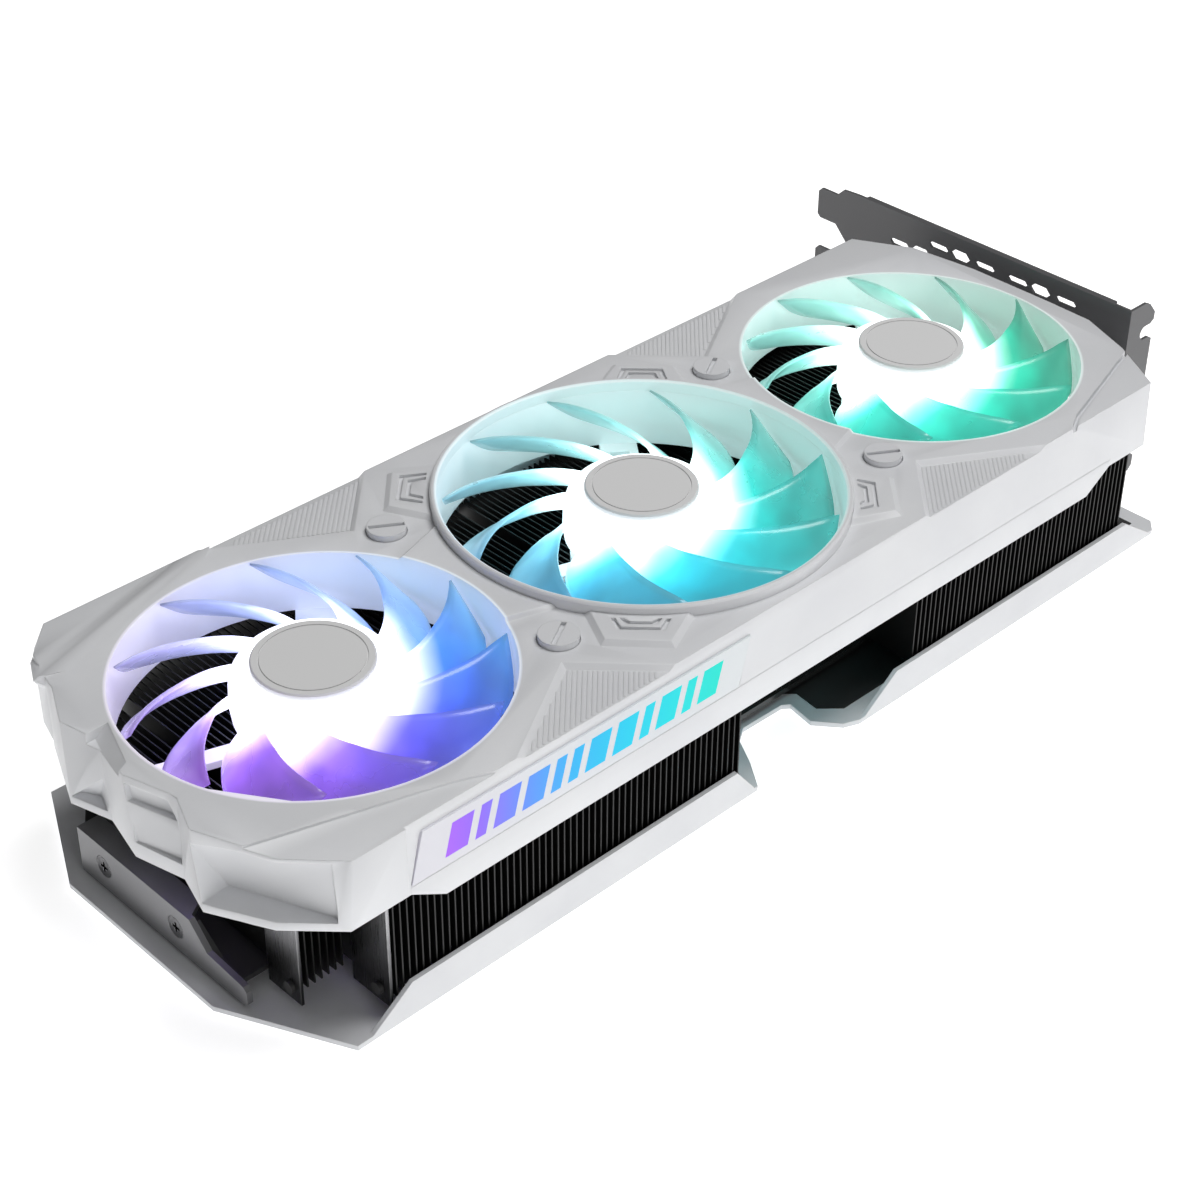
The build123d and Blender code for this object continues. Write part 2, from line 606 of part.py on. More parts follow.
with BuildPart() as backplate:
    with BuildSketch(Plane.XY):
        with BuildLine():
            Polyline(*plate_outline, close=True)
        make_face()
        # slanted vents under the tail fan, and the window of the retention plate
        with Locations(*[Location((x, y, 0), (0, 0, 62)) for x, y in vent_rows]):
            SlotOverall(19, 5, mode=Mode.SUBTRACT)
        with Locations((GPU_X, GPU_Y)):
            RectangleRounded(*plate_window, 6, mode=Mode.SUBTRACT)
    extrude(amount=PLATE)
    # folded edge of the near side, with slanted ends
    for first, last, lead_in, lead_out in ((-143.5, -14.6, 14, 8), (25.0, 156.0, 14, 15)):
        with BuildSketch(Plane.XZ.offset(HALF_Y)):
            with BuildLine():
                Polyline((first, 0), (last, 0), (last - lead_out, FLANGE_TOP), (first + lead_in, FLANGE_TOP),
                         close=True)
            make_face()
        extrude(amount=-FLANGE)
    with Locations(*[Location((x, y, 0), (180, 0, 0)) for x, y in plate_screws]):
        CounterSinkHole(radius=1.6, counter_sink_radius=3.0)
keep(backplate, "backplate")

with BuildPart() as insulating_film:
    with BuildSketch(Plane.XY.offset(PLATE)):
        with BuildLine():
            Polyline((-26, -52), (-15, -52), (-12, -46), (-7.5, -38), (-1, -34.8), (16, -34.8), (21, -39),
                     (20, -47), (25.5, -52), (154, -52), (154, 58), (-26, 58), close=True)
        make_face()
        with Locations(*BOARD_SCREWS):
            Circle(2.2, mode=Mode.SUBTRACT)
        with Locations((GPU_X, GPU_Y)):
            RectangleRounded(*plate_window, 6, mode=Mode.SUBTRACT)
    extrude(amount=FILM)
keep(insulating_film, "insulating_film")

with BuildPart() as backplate_screws:
    for x, y in plate_screws:
        on_board = (x, y) in BOARD_SCREWS
        with BuildSketch(Plane.XZ.offset(-y)):
            with BuildLine():
                top = 9.0 if on_board else 6.0
                Polyline((x, 0.1), (x + 2.85, 0.1), (x + 1.45, PLATE), (x + 1.45, top), (x, top), close=True)
            make_face()
        revolve(axis=Axis((x, y, 0), (0, 0, 1)))
        with BuildSketch(Plane.XY.offset(0.1)):
            with Locations((x, y)):
                Rectangle(2.6, 0.7)
                Rectangle(0.7, 2.6)
        extrude(amount=0.8, mode=Mode.SUBTRACT)
keep(backplate_screws, "backplate_screws")

# sprung cross behind the chip, pulled by four screws into the cold plate
RETENTION_LOW = 1.2
with BuildPart() as retention_plate:
    with BuildSketch(Plane.XY.offset(RETENTION_LOW)):
        with Locations((GPU_X, GPU_Y)):
            Circle(13)
            for turn in (45, 135):
                with Locations(Location((0, 0, 0), (0, 0, turn))):
                    SlotOverall(95, 10)
            Circle(8, mode=Mode.SUBTRACT)
        with Locations(*RETAINERS):
            Circle(RETAINER_R + 0.2, mode=Mode.SUBTRACT)
    extrude(amount=1.0)
keep(retention_plate, "retention_plate")

with BuildPart() as retainer_screws:
    with BuildSketch(Plane.XY.offset(RETENTION_LOW)):
        with Locations(*RETAINERS):
            Circle(RETAINER_R)
    extrude(amount=9.6 - RETENTION_LOW)
    with BuildSketch(Plane.XY.offset(RETENTION_LOW)):
        with Locations(*RETAINERS):
            Circle(3.0)
    extrude(amount=-0.9)
    with BuildSketch(Plane.XY.offset(RETENTION_LOW - 0.9)):
        with Locations(*RETAINERS):
            Rectangle(2.8, 0.7)
            Rectangle(0.7, 2.8)
    extrude(amount=0.6, mode=Mode.SUBTRACT)
keep(retainer_screws, "retainer_screws")

# ---------------------------------------------------------------- tail support
FRAME_PLATE_LOW, FRAME_PLATE_HIGH = 5.6, 7.0
BAR_X = -157.2
BAR_THICK = 1.6
BAR_SCREW_Z = 9.6
bar_screws = [(22.9, BAR_SCREW_Z), (-5.9, BAR_SCREW_Z)]

with BuildPart() as support_frame:
    # plate under the tail fins, with its front wall
    with BuildSketch(Plane.XY.offset(FRAME_PLATE_LOW)):
        with BuildLine():
            Polyline((BAR_X + BAR_THICK, -28), (-26, -28), (-26, 56), (-140, 56),
                     (BAR_X + BAR_THICK, 34), close=True)
        make_face()
        with Locations((-112, 2), (-78, 2), (-44, 2)):
            RectangleRounded(26, 46, 4, mode=Mode.SUBTRACT)
    extrude(amount=FRAME_PLATE_HIGH - FRAME_PLATE_LOW)
    with BuildSketch(Plane.YZ.offset(BAR_X + BAR_THICK)):
        with BuildLine():
            Polyline((-28, FRAME_PLATE_LOW), (33, FRAME_PLATE_LOW), (33, 14.2), (-12, 14.2), (-20, 8),
                     (-28, 7.2),
                     close=True)
        make_face()
        with Locations(*bar_screws):
            Circle(1.6, mode=Mode.SUBTRACT)
    extrude(amount=1.4)
    # posts for the backplate's screws, at the tail and on the board
    for x, y in plate_screws:
        on_board = (x, y) in BOARD_SCREWS
        low, high = (BOARD_TOP, 12.0) if on_board else (PLATE, FRAME_PLATE_HIGH)
        if on_board and y > FIN_FAR_Y or x == -14:
            high = 10.0
        with BuildSketch(Plane.XY.offset(low)):
            with Locations((x, y)):
                Circle(2.8)
        extrude(amount=high - low)
    for x, y in plate_screws:
        on_board = (x, y) in BOARD_SCREWS
        low, high = (BOARD_TOP, 9.4) if on_board else (PLATE, 6.4)
        with BuildSketch(Plane.XY.offset(low)):
            with Locations((x, y)):
                Circle(1.5)
        extrude(amount=high - low, mode=Mode.SUBTRACT)
keep(support_frame, "support_frame")

with BuildPart() as tail_support_bar:
    with BuildSketch(Plane.YZ.offset(BAR_X)):
        with BuildLine():
            Polyline((-31, 2.4), (33, 2.4), (33, 16), (-12, 16), (-18, 9.6), (-31.4, 8.4), (-32.5, 7.2),
                     (-32.5, 3.6), close=True)
        make_face()
    extrude(amount=BAR_THICK)
    with BuildSketch(Plane.XY.offset(16 - BAR_THICK)):
        with BuildLine():
            Polyline((BAR_X, -12), (BAR_X + 6.5, -8), (BAR_X + 6.5, 33), (BAR_X, 33), close=True)
        make_face()
    extrude(amount=BAR_THICK)
    with Locations(*[Location((BAR_X, y, z), (0, -90, 0)) for y, z in bar_screws]):
        CounterSinkHole(radius=1.6, counter_sink_radius=3.1)
keep(tail_support_bar, "tail_support_bar")

with BuildPart() as support_bar_screws:
    for y, z in bar_screws:
        with BuildSketch(Plane.XY.offset(z)):
            with BuildLine():
                Polyline((BAR_X + 0.05, y), (BAR_X + 0.05, y + 2.9), (BAR_X + 1.5, y + 1.45),
                         (BAR_X + 5, y + 1.45), (BAR_X + 5, y), close=True)
            make_face()
        revolve(axis=Axis((0, y, z), (1, 0, 0)))
    with BuildSketch(Plane.YZ.offset(BAR_X + 0.05)):
        with Locations(*bar_screws):
            Rectangle(3.0, 0.8)
            Rectangle(0.8, 3.0)
    extrude(amount=0.9, mode=Mode.SUBTRACT)
keep(support_bar_screws, "support_bar_screws")

# ---------------------------------------------------------------- slot bracket and display sockets
BRACKET_LOW, BRACKET_HIGH = 0.5, 59.56
FLANGE_Y = -31.8
FLANGE_END_X = 180.5
TONGUE_HALF = 5.1
TONGUE_TIP = FLANGE_Y + 120.0
TONGUE_ZS = [10.96 + SLOT_PITCH * k for k in range(3)]
NOTCH_ZS = [8.76 + SLOT_PITCH * k for k in range(3)]
SOCKET_YS = [-12.5, 10.0, 32.5, 55.0]
SHELL_WIDE, SHELL_HIGH, SHELL_WALL = 18.0, 7.2, 0.6
SHELL_MIDDLE_Z = BOARD_TOP + SHELL_HIGH / 2
VENT_ROWS = 8

bracket_outline = [(FLANGE_Y, BRACKET_LOW), (72, BRACKET_LOW), (78, 1.4)]
for k, tongue_z in enumerate(TONGUE_ZS):
    if k > 0:
        bracket_outline.append((75.5, tongue_z - SLOT_PITCH / 2))
    bracket_outline += [(80.5, tongue_z - TONGUE_HALF), (TONGUE_TIP - 1.2, tongue_z - TONGUE_HALF),
                        (TONGUE_TIP, tongue_z - TONGUE_HALF + 1.2),
                        (TONGUE_TIP, tongue_z + TONGUE_HALF - 1.2),
                        (TONGUE_TIP - 1.2, tongue_z + TONGUE_HALF), (80.5, tongue_z + TONGUE_HALF)]
bracket_outline += [(78, BRACKET_HIGH - 0.4), (72, BRACKET_HIGH), (FLANGE_Y, BRACKET_HIGH)]


def slit(wide, high):
    """A six-sided slit with pointed ends."""
    return Polygon((-wide / 2, 0), (-wide / 2 + high / 2, high / 2), (wide / 2 - high / 2, high / 2),
                   (wide / 2, 0),
                   (wide / 2 - high / 2, -high / 2), (-wide / 2 + high / 2, -high / 2), mode=Mode.SUBTRACT)


with BuildPart() as slot_bracket:
    with BuildSketch(Plane.YZ.offset(BRACKET_X)):
        with BuildLine():
            Polyline(*bracket_outline, close=True)
        make_face()
        for row in range(VENT_ROWS):
            z = 53.7 - 4.4 * row
            start = -9.75 - 15.25 * (row % 2)
            for k in range(3 if row % 2 else 2):
                y = start + 30.5 * k
                for shift, wide, high in ((0, 7.5, 2.0), (9.5, 7.5, 3.4), (18, 7.5, 2.0)):
                    if -24 < y + shift < 62:
                        with Locations((y + shift, z)):
                            slit(wide, high)
        with Locations(*[(y, SHELL_MIDDLE_Z) for y in SOCKET_YS]):
            Rectangle(SHELL_WIDE + 0.2, SHELL_HIGH + 0.2, mode=Mode.SUBTRACT)
    extrude(amount=BRACKET_THICK)
    # bent flange with one screw notch for each slot
    with BuildSketch(Plane.XZ.offset(-FLANGE_Y)):
        with BuildLine():
            Polyline((BRACKET_X, BRACKET_LOW), (FLANGE_END_X - 1.5, BRACKET_LOW),
                     (FLANGE_END_X, BRACKET_LOW + 1.5),
                     (FLANGE_END_X, BRACKET_HIGH - 4.5), (FLANGE_END_X - 3, BRACKET_HIGH - 1),
                     (FLANGE_END_X - 5, BRACKET_HIGH), (BRACKET_X, BRACKET_HIGH), close=True)
        make_face()
        for z in NOTCH_ZS:
            with BuildLine():
                Polyline((FLANGE_END_X + 1, z - 3.8), (FLANGE_END_X - 1.6, z - 2.2),
                         (FLANGE_END_X - 4, z - 2.2),
                         (FLANGE_END_X - 4, z + 2.2), (FLANGE_END_X - 1.6, z + 2.2),
                         (FLANGE_END_X + 1, z + 3.8),
                         close=True)
            make_face(mode=Mode.SUBTRACT)
            with Locations((FLANGE_END_X - 4, z)):
                Circle(2.2, mode=Mode.SUBTRACT)
    extrude(amount=BRACKET_THICK)
    # stiffening lip on the upper edge
    with BuildSketch(Plane.YZ.offset(BRACKET_X)):
        with Locations((21.5, BRACKET_HIGH - 0.45)):
            Rectangle(95, 0.9)
    extrude(amount=2.2)
    # two feet on the circuit board
    with BuildSketch(Plane.XY.offset(BOARD_TOP)):
        with Locations(*[(BRACKET_X - 4.9, y) for x, y in BRACKET_SCREWS]):
            Rectangle(9.8, 7)
        with Locations(*BRACKET_SCREWS):
            Circle(1.6, mode=Mode.SUBTRACT)
    extrude(amount=BRACKET_THICK)
keep(slot_bracket, "slot_bracket")

with BuildPart() as bracket_screws:
    with BuildSketch(Plane.XY.offset(BOARD_TOP + BRACKET_THICK)):
        with Locations(*BRACKET_SCREWS):
            Circle(2.6)
    extrude(amount=1.5)
    fillet(bracket_screws.edges().group_by(Axis.Z)[-1], 0.5)
    with BuildSketch(Plane.XY.offset(BOARD_TOP + BRACKET_THICK)):
        with Locations(*BRACKET_SCREWS):
            Circle(1.4)
    extrude(amount=-BRACKET_THICK - BOARD)
    with BuildSketch(Plane.XY.offset(BOARD_TOP + BRACKET_THICK + 1.5)):
        with Locations(*BRACKET_SCREWS):
            Rectangle(2.6, 0.7)
            Rectangle(0.7, 2.6)
    extrude(amount=-0.8, mode=Mode.SUBTRACT)
keep(bracket_screws, "bracket_screws")

SHELL_BACK_X, SHELL_MOUTH_X = 151.0, BRACKET_X + BRACKET_THICK + 0.4
with BuildPart() as display_sockets:
    for y in SOCKET_YS:
        half_w, half_h = SHELL_WIDE / 2, SHELL_HIGH / 2
        notch = 3.0 if y == SOCKET_YS[2] else 1.6
        for depth, inset, mode in ((0.0, 0.0, Mode.ADD), (1.2, SHELL_WALL, Mode.SUBTRACT)):
            with BuildSketch(Plane.YZ.offset(SHELL_BACK_X + depth)):
                with BuildLine():
                    Polyline((y - half_w + inset, SHELL_MIDDLE_Z - half_h + inset),
                             (y + half_w - inset - notch, SHELL_MIDDLE_Z - half_h + inset),
                             (y + half_w - inset, SHELL_MIDDLE_Z - half_h + inset + notch),
                             (y + half_w - inset, SHELL_MIDDLE_Z + half_h - inset),
                             (y - half_w + inset, SHELL_MIDDLE_Z + half_h - inset), close=True)
                make_face()
            extrude(amount=SHELL_MOUTH_X - SHELL_BACK_X - depth, mode=mode)
keep(display_sockets, "display_sockets")

with BuildPart() as display_tongues:
    with BuildSketch(Plane.YZ.offset(SHELL_BACK_X + 1.2)):
        with Locations(*[(y, SHELL_MIDDLE_Z) for y in SOCKET_YS]):
            Rectangle(12.5, 1.5)
    extrude(amount=13.0)
keep(display_tongues, "display_tongues")
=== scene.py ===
"""Looks of a triple-fan graphics card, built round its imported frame.

Lengths are metres; +Z points out of the fans, +X to the slot bracket, +Y to the slot contacts.
"""

import json
import logging
import math
from dataclasses import dataclass
from enum import Enum
from typing import Callable, Iterable, Sequence

import bmesh
import bpy
from mathutils import Matrix, Vector

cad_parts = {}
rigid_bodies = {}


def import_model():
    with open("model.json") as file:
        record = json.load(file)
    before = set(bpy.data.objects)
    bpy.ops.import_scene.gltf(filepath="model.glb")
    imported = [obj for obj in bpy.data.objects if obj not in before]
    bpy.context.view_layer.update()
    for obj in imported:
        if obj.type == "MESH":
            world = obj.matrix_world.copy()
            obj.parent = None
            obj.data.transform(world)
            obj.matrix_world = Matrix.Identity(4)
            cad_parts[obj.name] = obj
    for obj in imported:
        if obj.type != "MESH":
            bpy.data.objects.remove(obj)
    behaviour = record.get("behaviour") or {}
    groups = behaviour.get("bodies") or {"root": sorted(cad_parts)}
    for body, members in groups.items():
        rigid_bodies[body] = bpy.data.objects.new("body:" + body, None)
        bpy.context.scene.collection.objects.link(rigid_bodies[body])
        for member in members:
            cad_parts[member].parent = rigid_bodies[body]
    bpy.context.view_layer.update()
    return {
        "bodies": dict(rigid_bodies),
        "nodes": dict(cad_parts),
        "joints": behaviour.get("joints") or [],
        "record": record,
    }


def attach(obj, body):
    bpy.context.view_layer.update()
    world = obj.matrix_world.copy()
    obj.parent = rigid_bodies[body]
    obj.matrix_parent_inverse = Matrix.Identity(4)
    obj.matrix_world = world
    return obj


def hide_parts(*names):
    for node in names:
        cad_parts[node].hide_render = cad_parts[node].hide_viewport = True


LOG = logging.getLogger("graphics_card")
MM = 0.001
Colour = tuple[float, float, float]
Point = tuple[float, float, float]
Flat = tuple[float, float]
Socket = bpy.types.NodeSocket


class Body(Enum):
    """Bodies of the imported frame."""

    CARD = "card"
    FAN_TAIL = "fan_tail"
    FAN_MIDDLE = "fan_middle"
    FAN_BRACKET = "fan_bracket"


class Slot(Enum):
    """Material slots of the record."""

    WHITE_PLASTIC = "white_plastic"
    LIGHT_DIFFUSER = "light_diffuser"
    FROSTED_BLADE = "frosted_blade"
    CAP_GREY = "cap_grey"


def srgb(red: int, green: int, blue: int) -> Colour:
    """Linear colour of three display values from 0 to 255."""
    shares = (value / 255 for value in (red, green, blue))
    return tuple(v / 12.92 if v <= 10 / 255 else ((v + 0.055) / 1.055) ** 2.4 for v in shares)


# ---------------------------------------------------------------- node trees
class Graph:
    """Short calls for building one node tree."""

    def __init__(self, tree: bpy.types.NodeTree) -> None:
        """Keeps the tree that the calls add to."""
        self.tree = tree

    def add(self, kind: str, inputs: dict | None = None, **settings: object) -> bpy.types.Node:
        """Adds a node.

        Args:
            kind: the node's type name.
            inputs: socket name or number to a value, or to the output that feeds it.
            **settings: the node's own properties.

        Returns:
            The new node.
        """
        node = self.tree.nodes.new(kind)
        for key, value in settings.items():
            setattr(node, key, value)
        for key, value in (inputs or {}).items():
            if isinstance(value, Socket):
                self.tree.links.new(value, node.inputs[key])
            else:
                node.inputs[key].default_value = value
        return node

    def math(self, operation: str, first: object, second: object = 0.0) -> Socket:
        """Result of one Math node."""
        return self.add("ShaderNodeMath", {0: first, 1: second}, operation=operation).outputs[0]

    def mix(self, factor: object, first: object, second: object) -> Socket:
        """Colour mixed from two colours; plain colours are given without alpha."""
        sides = [value if isinstance(value, Socket) else (*value, 1.0) for value in (first, second)]
        node = self.add("ShaderNodeMix", {0: factor, 6: sides[0], 7: sides[1]}, data_type="RGBA")
        return node.outputs[2]

    def span(self, value: Socket, low: float, high: float, start: float, end: float) -> Socket:
        """A value carried from one range to another, clamped."""
        node = self.add("ShaderNodeMapRange", {0: value, 1: low, 2: high, 3: start, 4: end})
        return node.outputs[0]

    def noise(self, scale: object, vector: object = None, detail: float = 3.0, rough: float = 0.55) -> Socket:
        """Noise value at a scale per metre."""
        inputs = {"Scale": scale, "Detail": detail, "Roughness": rough}
        if vector is not None:
            inputs["Vector"] = vector
        return self.add("ShaderNodeTexNoise", inputs).outputs[0]

    def place(self) -> Socket:
        """Coordinates in the card's frame, in metres."""
        return self.add("ShaderNodeTexCoord").outputs["Object"]

    def ramp(self, factor: Socket, stops: Sequence[tuple[float, Colour]]) -> Socket:
        """Colour ramp through the given stops.

        Args:
            factor: what picks the colour, from 0 to 1.
            stops: places from 0 to 1 with the colour there.

        Returns:
            The ramp's colour output.
        """
        node = self.add("ShaderNodeValToRGB", {0: factor})
        elements = node.color_ramp.elements
        while len(elements) < len(stops):
            elements.new(0.5)
        for element, (position, colour) in zip(elements, stops):
            element.position = position
            element.color = (*colour, 1.0)
        return node.outputs[0]


def new_group(name: str, inputs: dict[str, float],
              outputs: dict[str, str]) -> tuple[bpy.types.NodeTree, Graph, bpy.types.Node]:
    """Starts a shader node group.

    Args:
        name: the group's name.
        inputs: float inputs with their default values.
        outputs: outputs with their socket types.

    Returns:
        The group, a Graph on it, and its input node.
    """
    group = bpy.data.node_groups.new(name, "ShaderNodeTree")
    for label, value in inputs.items():
        socket = group.interface.new_socket(name=label, in_out="INPUT", socket_type="NodeSocketFloat")
        socket.default_value = value
    for label, kind in outputs.items():
        group.interface.new_socket(name=label, in_out="OUTPUT", socket_type=kind)
    return group, Graph(group), group.nodes.new("NodeGroupInput")


def close_group(graph: Graph, results: dict[str, Socket]) -> None:
    """Feeds a group's outputs."""
    graph.add("NodeGroupOutput", results)


class Effects:
    """Effects that several finishes share, each one node group built once."""

    def __init__(self) -> None:
        """Builds every group."""
        self.grain = self._grain()
        self.edges = self._edges()
        self.brush = self._brush()
        self.dust = self._dust()
        self.spill = self._spill()

    def _grain(self) -> bpy.types.NodeTree:
        """Fine texture of a mould or of sprayed paint, with a slow tone change over it.

        Returns:
            The group.
        """
        group, g, given = new_group("grain", {"Scale": 2500.0, "Cloud Scale": 30.0},
                                    {"Height": "NodeSocketFloat", "Tone": "NodeSocketFloat"})
        place = g.place()
        fine = g.noise(given.outputs["Scale"], place, 2.0)
        coarse = g.noise(g.math("MULTIPLY", given.outputs["Scale"], 0.27), place, 2.0)
        height = g.math("ADD", g.math("MULTIPLY", fine, 0.6), g.math("MULTIPLY", coarse, 0.4))
        tone = g.span(g.noise(given.outputs["Cloud Scale"], place, 4.0), 0.32, 0.68, 0.0, 1.0)
        close_group(g, {"Height": height, "Tone": tone})
        return group

    def _edges(self) -> bpy.types.NodeTree:
        """Normals rounded over edges, and a mask of those edges, broken up by noise, that carries a painted
        highlight.

        Returns:
            The group.
        """
        group, g, given = new_group("soft_edges", {"Radius": 0.0004, "Highlight Noise Scale": 400.0},
                                    {"Normal": "NodeSocketVector", "Mask": "NodeSocketFloat"})
        rounded = g.add("ShaderNodeBevel", {"Radius": given.outputs["Radius"]}, samples=4).outputs[0]
        flat = g.add("ShaderNodeNewGeometry").outputs["Normal"]
        likeness = g.add("ShaderNodeVectorMath", {0: rounded, 1: flat},
                         operation="DOT_PRODUCT").outputs["Value"]
        turned = g.span(likeness, 0.995, 0.80, 0.0, 1.0)
        # the mask carries the painted edge highlight; the noise only breaks it up
        broken = g.span(g.noise(given.outputs["Highlight Noise Scale"], g.place(), 3.0), 0.35, 0.65, 0.3, 1.0)
        close_group(g, {"Normal": rounded, "Mask": g.math("MULTIPLY", turned, broken)})
        return group

    def _brush(self) -> bpy.types.NodeTree:
        """Streaks of brushed or rolled metal; a large scale across an axis makes them short along it.

        Returns:
            The group.
        """
        group, g, given = new_group("brushed", {"Across X": 3000.0, "Across Y": 40.0, "Across Z": 3000.0},
                                    {"Height": "NodeSocketFloat", "Tone": "NodeSocketFloat"})
        scale = g.add("ShaderNodeCombineXYZ", {k: given.outputs[f"Across {k}"] for k in "XYZ"}).outputs[0]
        place = g.add("ShaderNodeVectorMath", {0: g.place(), 1: scale}, operation="MULTIPLY").outputs[0]
        streak = g.noise(1.0, place, 3.0, 0.6)
        close_group(g, {"Height": streak, "Tone": g.span(streak, 0.3, 0.7, 0.0, 1.0)})
        return group

    def _dust(self) -> bpy.types.NodeTree:
        """Thin dust that settles on faces turned up.

        Returns:
            The group.
        """
        group, g, given = new_group("dust", {"Amount": 0.1, "Scale": 900.0}, {"Mask": "NodeSocketFloat"})
        facing = g.add("ShaderNodeSeparateXYZ",
                       {0: g.add("ShaderNodeNewGeometry").outputs["Normal"]}).outputs[2]
        specks = g.span(g.noise(given.outputs["Scale"], g.place(), 4.0), 0.52, 0.75, 0.0, 1.0)
        up = g.span(facing, 0.2, 1.0, 0.0, 1.0)
        close_group(g, {"Mask": g.math("MULTIPLY", g.math("MULTIPLY", specks, up), given.outputs["Amount"])})
        return group

    def _spill(self) -> bpy.types.NodeTree:
        """Light the fans throw on the duct walls and on what lies under the blades.

        Returns:
            The group.
        """
        group, g, _ = new_group("fan_spill", {}, {"Colour": "NodeSocketColor"})
        place = g.add("ShaderNodeSeparateXYZ", {0: g.place()})
        first, last = FAN_LIGHT[0][0], FAN_LIGHT[-1][0]
        hue = g.ramp(g.span(place.outputs[0], first, last, 0.0, 1.0),
                     [((x - first) / (last - first), colour) for x, colour in FAN_LIGHT])
        rooms = []
        for centre, radius in DUCTS:
            dx = g.math("SUBTRACT", place.outputs[0], centre)
            far = g.math("SQRT", g.math("ADD", g.math("MULTIPLY", dx, dx),
                                        g.math("MULTIPLY", place.outputs[1], place.outputs[1])))
            rooms.append(g.span(far, radius + 0.0009, radius + 0.0002, 0.0, 1.0))
        room = g.math("MAXIMUM", g.math("MAXIMUM", rooms[0], rooms[1]), rooms[2])
        depth = g.span(place.outputs[2], 0.028, 0.046, 0.35, 1.0)
        mask = g.math("MULTIPLY", room, depth)
        pale = g.mix(0.62, hue, (1.0, 1.0, 1.0))
        close_group(g, {"Colour": g.mix(mask, (0.0, 0.0, 0.0), pale)})
        return group


FAN_LIGHT = tuple((x * MM, srgb(*rgb)) for x, rgb in (
    (-156, (172, 104, 226)), (-128, (150, 100, 222)), (-106, (104, 96, 228)), (-82, (54, 122, 232)),
    (-60, (50, 170, 225)), (-42, (90, 195, 225)), (-15, (24, 200, 215)), (20, (0, 205, 198)),
    (50, (0, 196, 182)), (88, (30, 210, 190)), (125, (0, 196, 165)), (158, (0, 178, 140))))
DUCTS = ((-0.108, 0.048), (0.0, 0.053), (0.108, 0.048))
EFFECTS: dict[str, bpy.types.NodeTree] = {}


def effect(graph: Graph, name: str, values: dict[str, float]) -> bpy.types.Node:
    """Places one shared group in a material, with its own values.

    Args:
        graph: the material's graph.
        name: which of the shared groups.
        values: input name to value, for this material.

    Returns:
        The group's node.
    """
    if not EFFECTS:
        made = Effects()
        EFFECTS.update(grain=made.grain, edges=made.edges, brush=made.brush, dust=made.dust, spill=made.spill)
    node = graph.tree.nodes.new("ShaderNodeGroup")
    node.node_tree = EFFECTS[name]
    for key, value in values.items():
        node.inputs[key].default_value = value
    return node


# ---------------------------------------------------------------- finishes
@dataclass(frozen=True)
class Finish:
    """A moulded, painted or coated finish.

    Attributes:
        name: the material's name.
        base: main colour.
        shade: colour it drifts to.
        edge: colour of the painted highlight along its edges.
        rough: roughness, and how far it varies.
        metallic: metallic value.
        coat: weight of a clear coat.
        grain: grain scale per metre.
        depth: height of the grain in metres.
        radius: rounding of edges in metres.
        dust: amount of dust.
        spill: strength of the fans' light on it.
    """

    name: str
    base: Colour
    shade: Colour
    edge: Colour
    rough: tuple[float, float] = (0.4, 0.06)
    metallic: float = 0.0
    coat: float = 0.0
    grain: float = 2500.0
    depth: float = 0.00001
    radius: float = 0.0004
    dust: float = 0.05
    spill: float = 0.0

    def surface(self, g: Graph) -> tuple[Socket, Socket, Socket]:
        """Colour, roughness and normal of the surface.

        Args:
            g: the material's graph.

        Returns:
            Sockets for Base Color, Roughness and Normal.
        """
        grain = effect(g, "grain", {"Scale": self.grain})
        edges = effect(g, "edges", {"Radius": self.radius})
        dust = effect(g, "dust", {"Amount": self.dust})
        colour = g.mix(grain.outputs["Tone"], self.base, self.shade)
        # painted highlight along the rounded edges
        colour = g.mix(edges.outputs["Mask"], colour, self.edge)
        colour = g.mix(dust.outputs["Mask"], colour, (0.55, 0.54, 0.52))
        middle, spread = self.rough
        rough = g.span(grain.outputs["Tone"], 0.0, 1.0, middle - spread, middle + spread)
        bump = g.add("ShaderNodeBump",
                     {"Strength": 0.5, "Distance": self.depth, "Height": grain.outputs["Height"],
                                        "Normal": edges.outputs["Normal"]})
        return colour, rough, bump.outputs[0]

    def finish_shader(self, g: Graph, shader: bpy.types.Node) -> None:
        """Adds the fans' light where it falls.

        Args:
            g: the material's graph.
            shader: the material's Principled BSDF.
        """
        if self.spill:
            g.tree.links.new(effect(g, "spill", {}).outputs["Colour"], shader.inputs["Emission Color"])
            shader.inputs["Emission Strength"].default_value = self.spill

    def material(self) -> bpy.types.Material:
        """The material, built at its first use.

        Returns:
            The material.
        """
        found = bpy.data.materials.get(self.name)
        if found:
            return found
        made = bpy.data.materials.new(self.name)
        made.use_nodes = True
        made.node_tree.nodes.clear()
        g = Graph(made.node_tree)
        colour, rough, normal = self.surface(g)
        shader = g.add("ShaderNodeBsdfPrincipled",
                       {"Base Color": colour, "Roughness": rough, "Normal": normal,
                                                   "Metallic": self.metallic, "Coat Weight": self.coat})
        self.finish_shader(g, shader)
        g.add("ShaderNodeOutputMaterial", {"Surface": shader.outputs[0]})
        return made


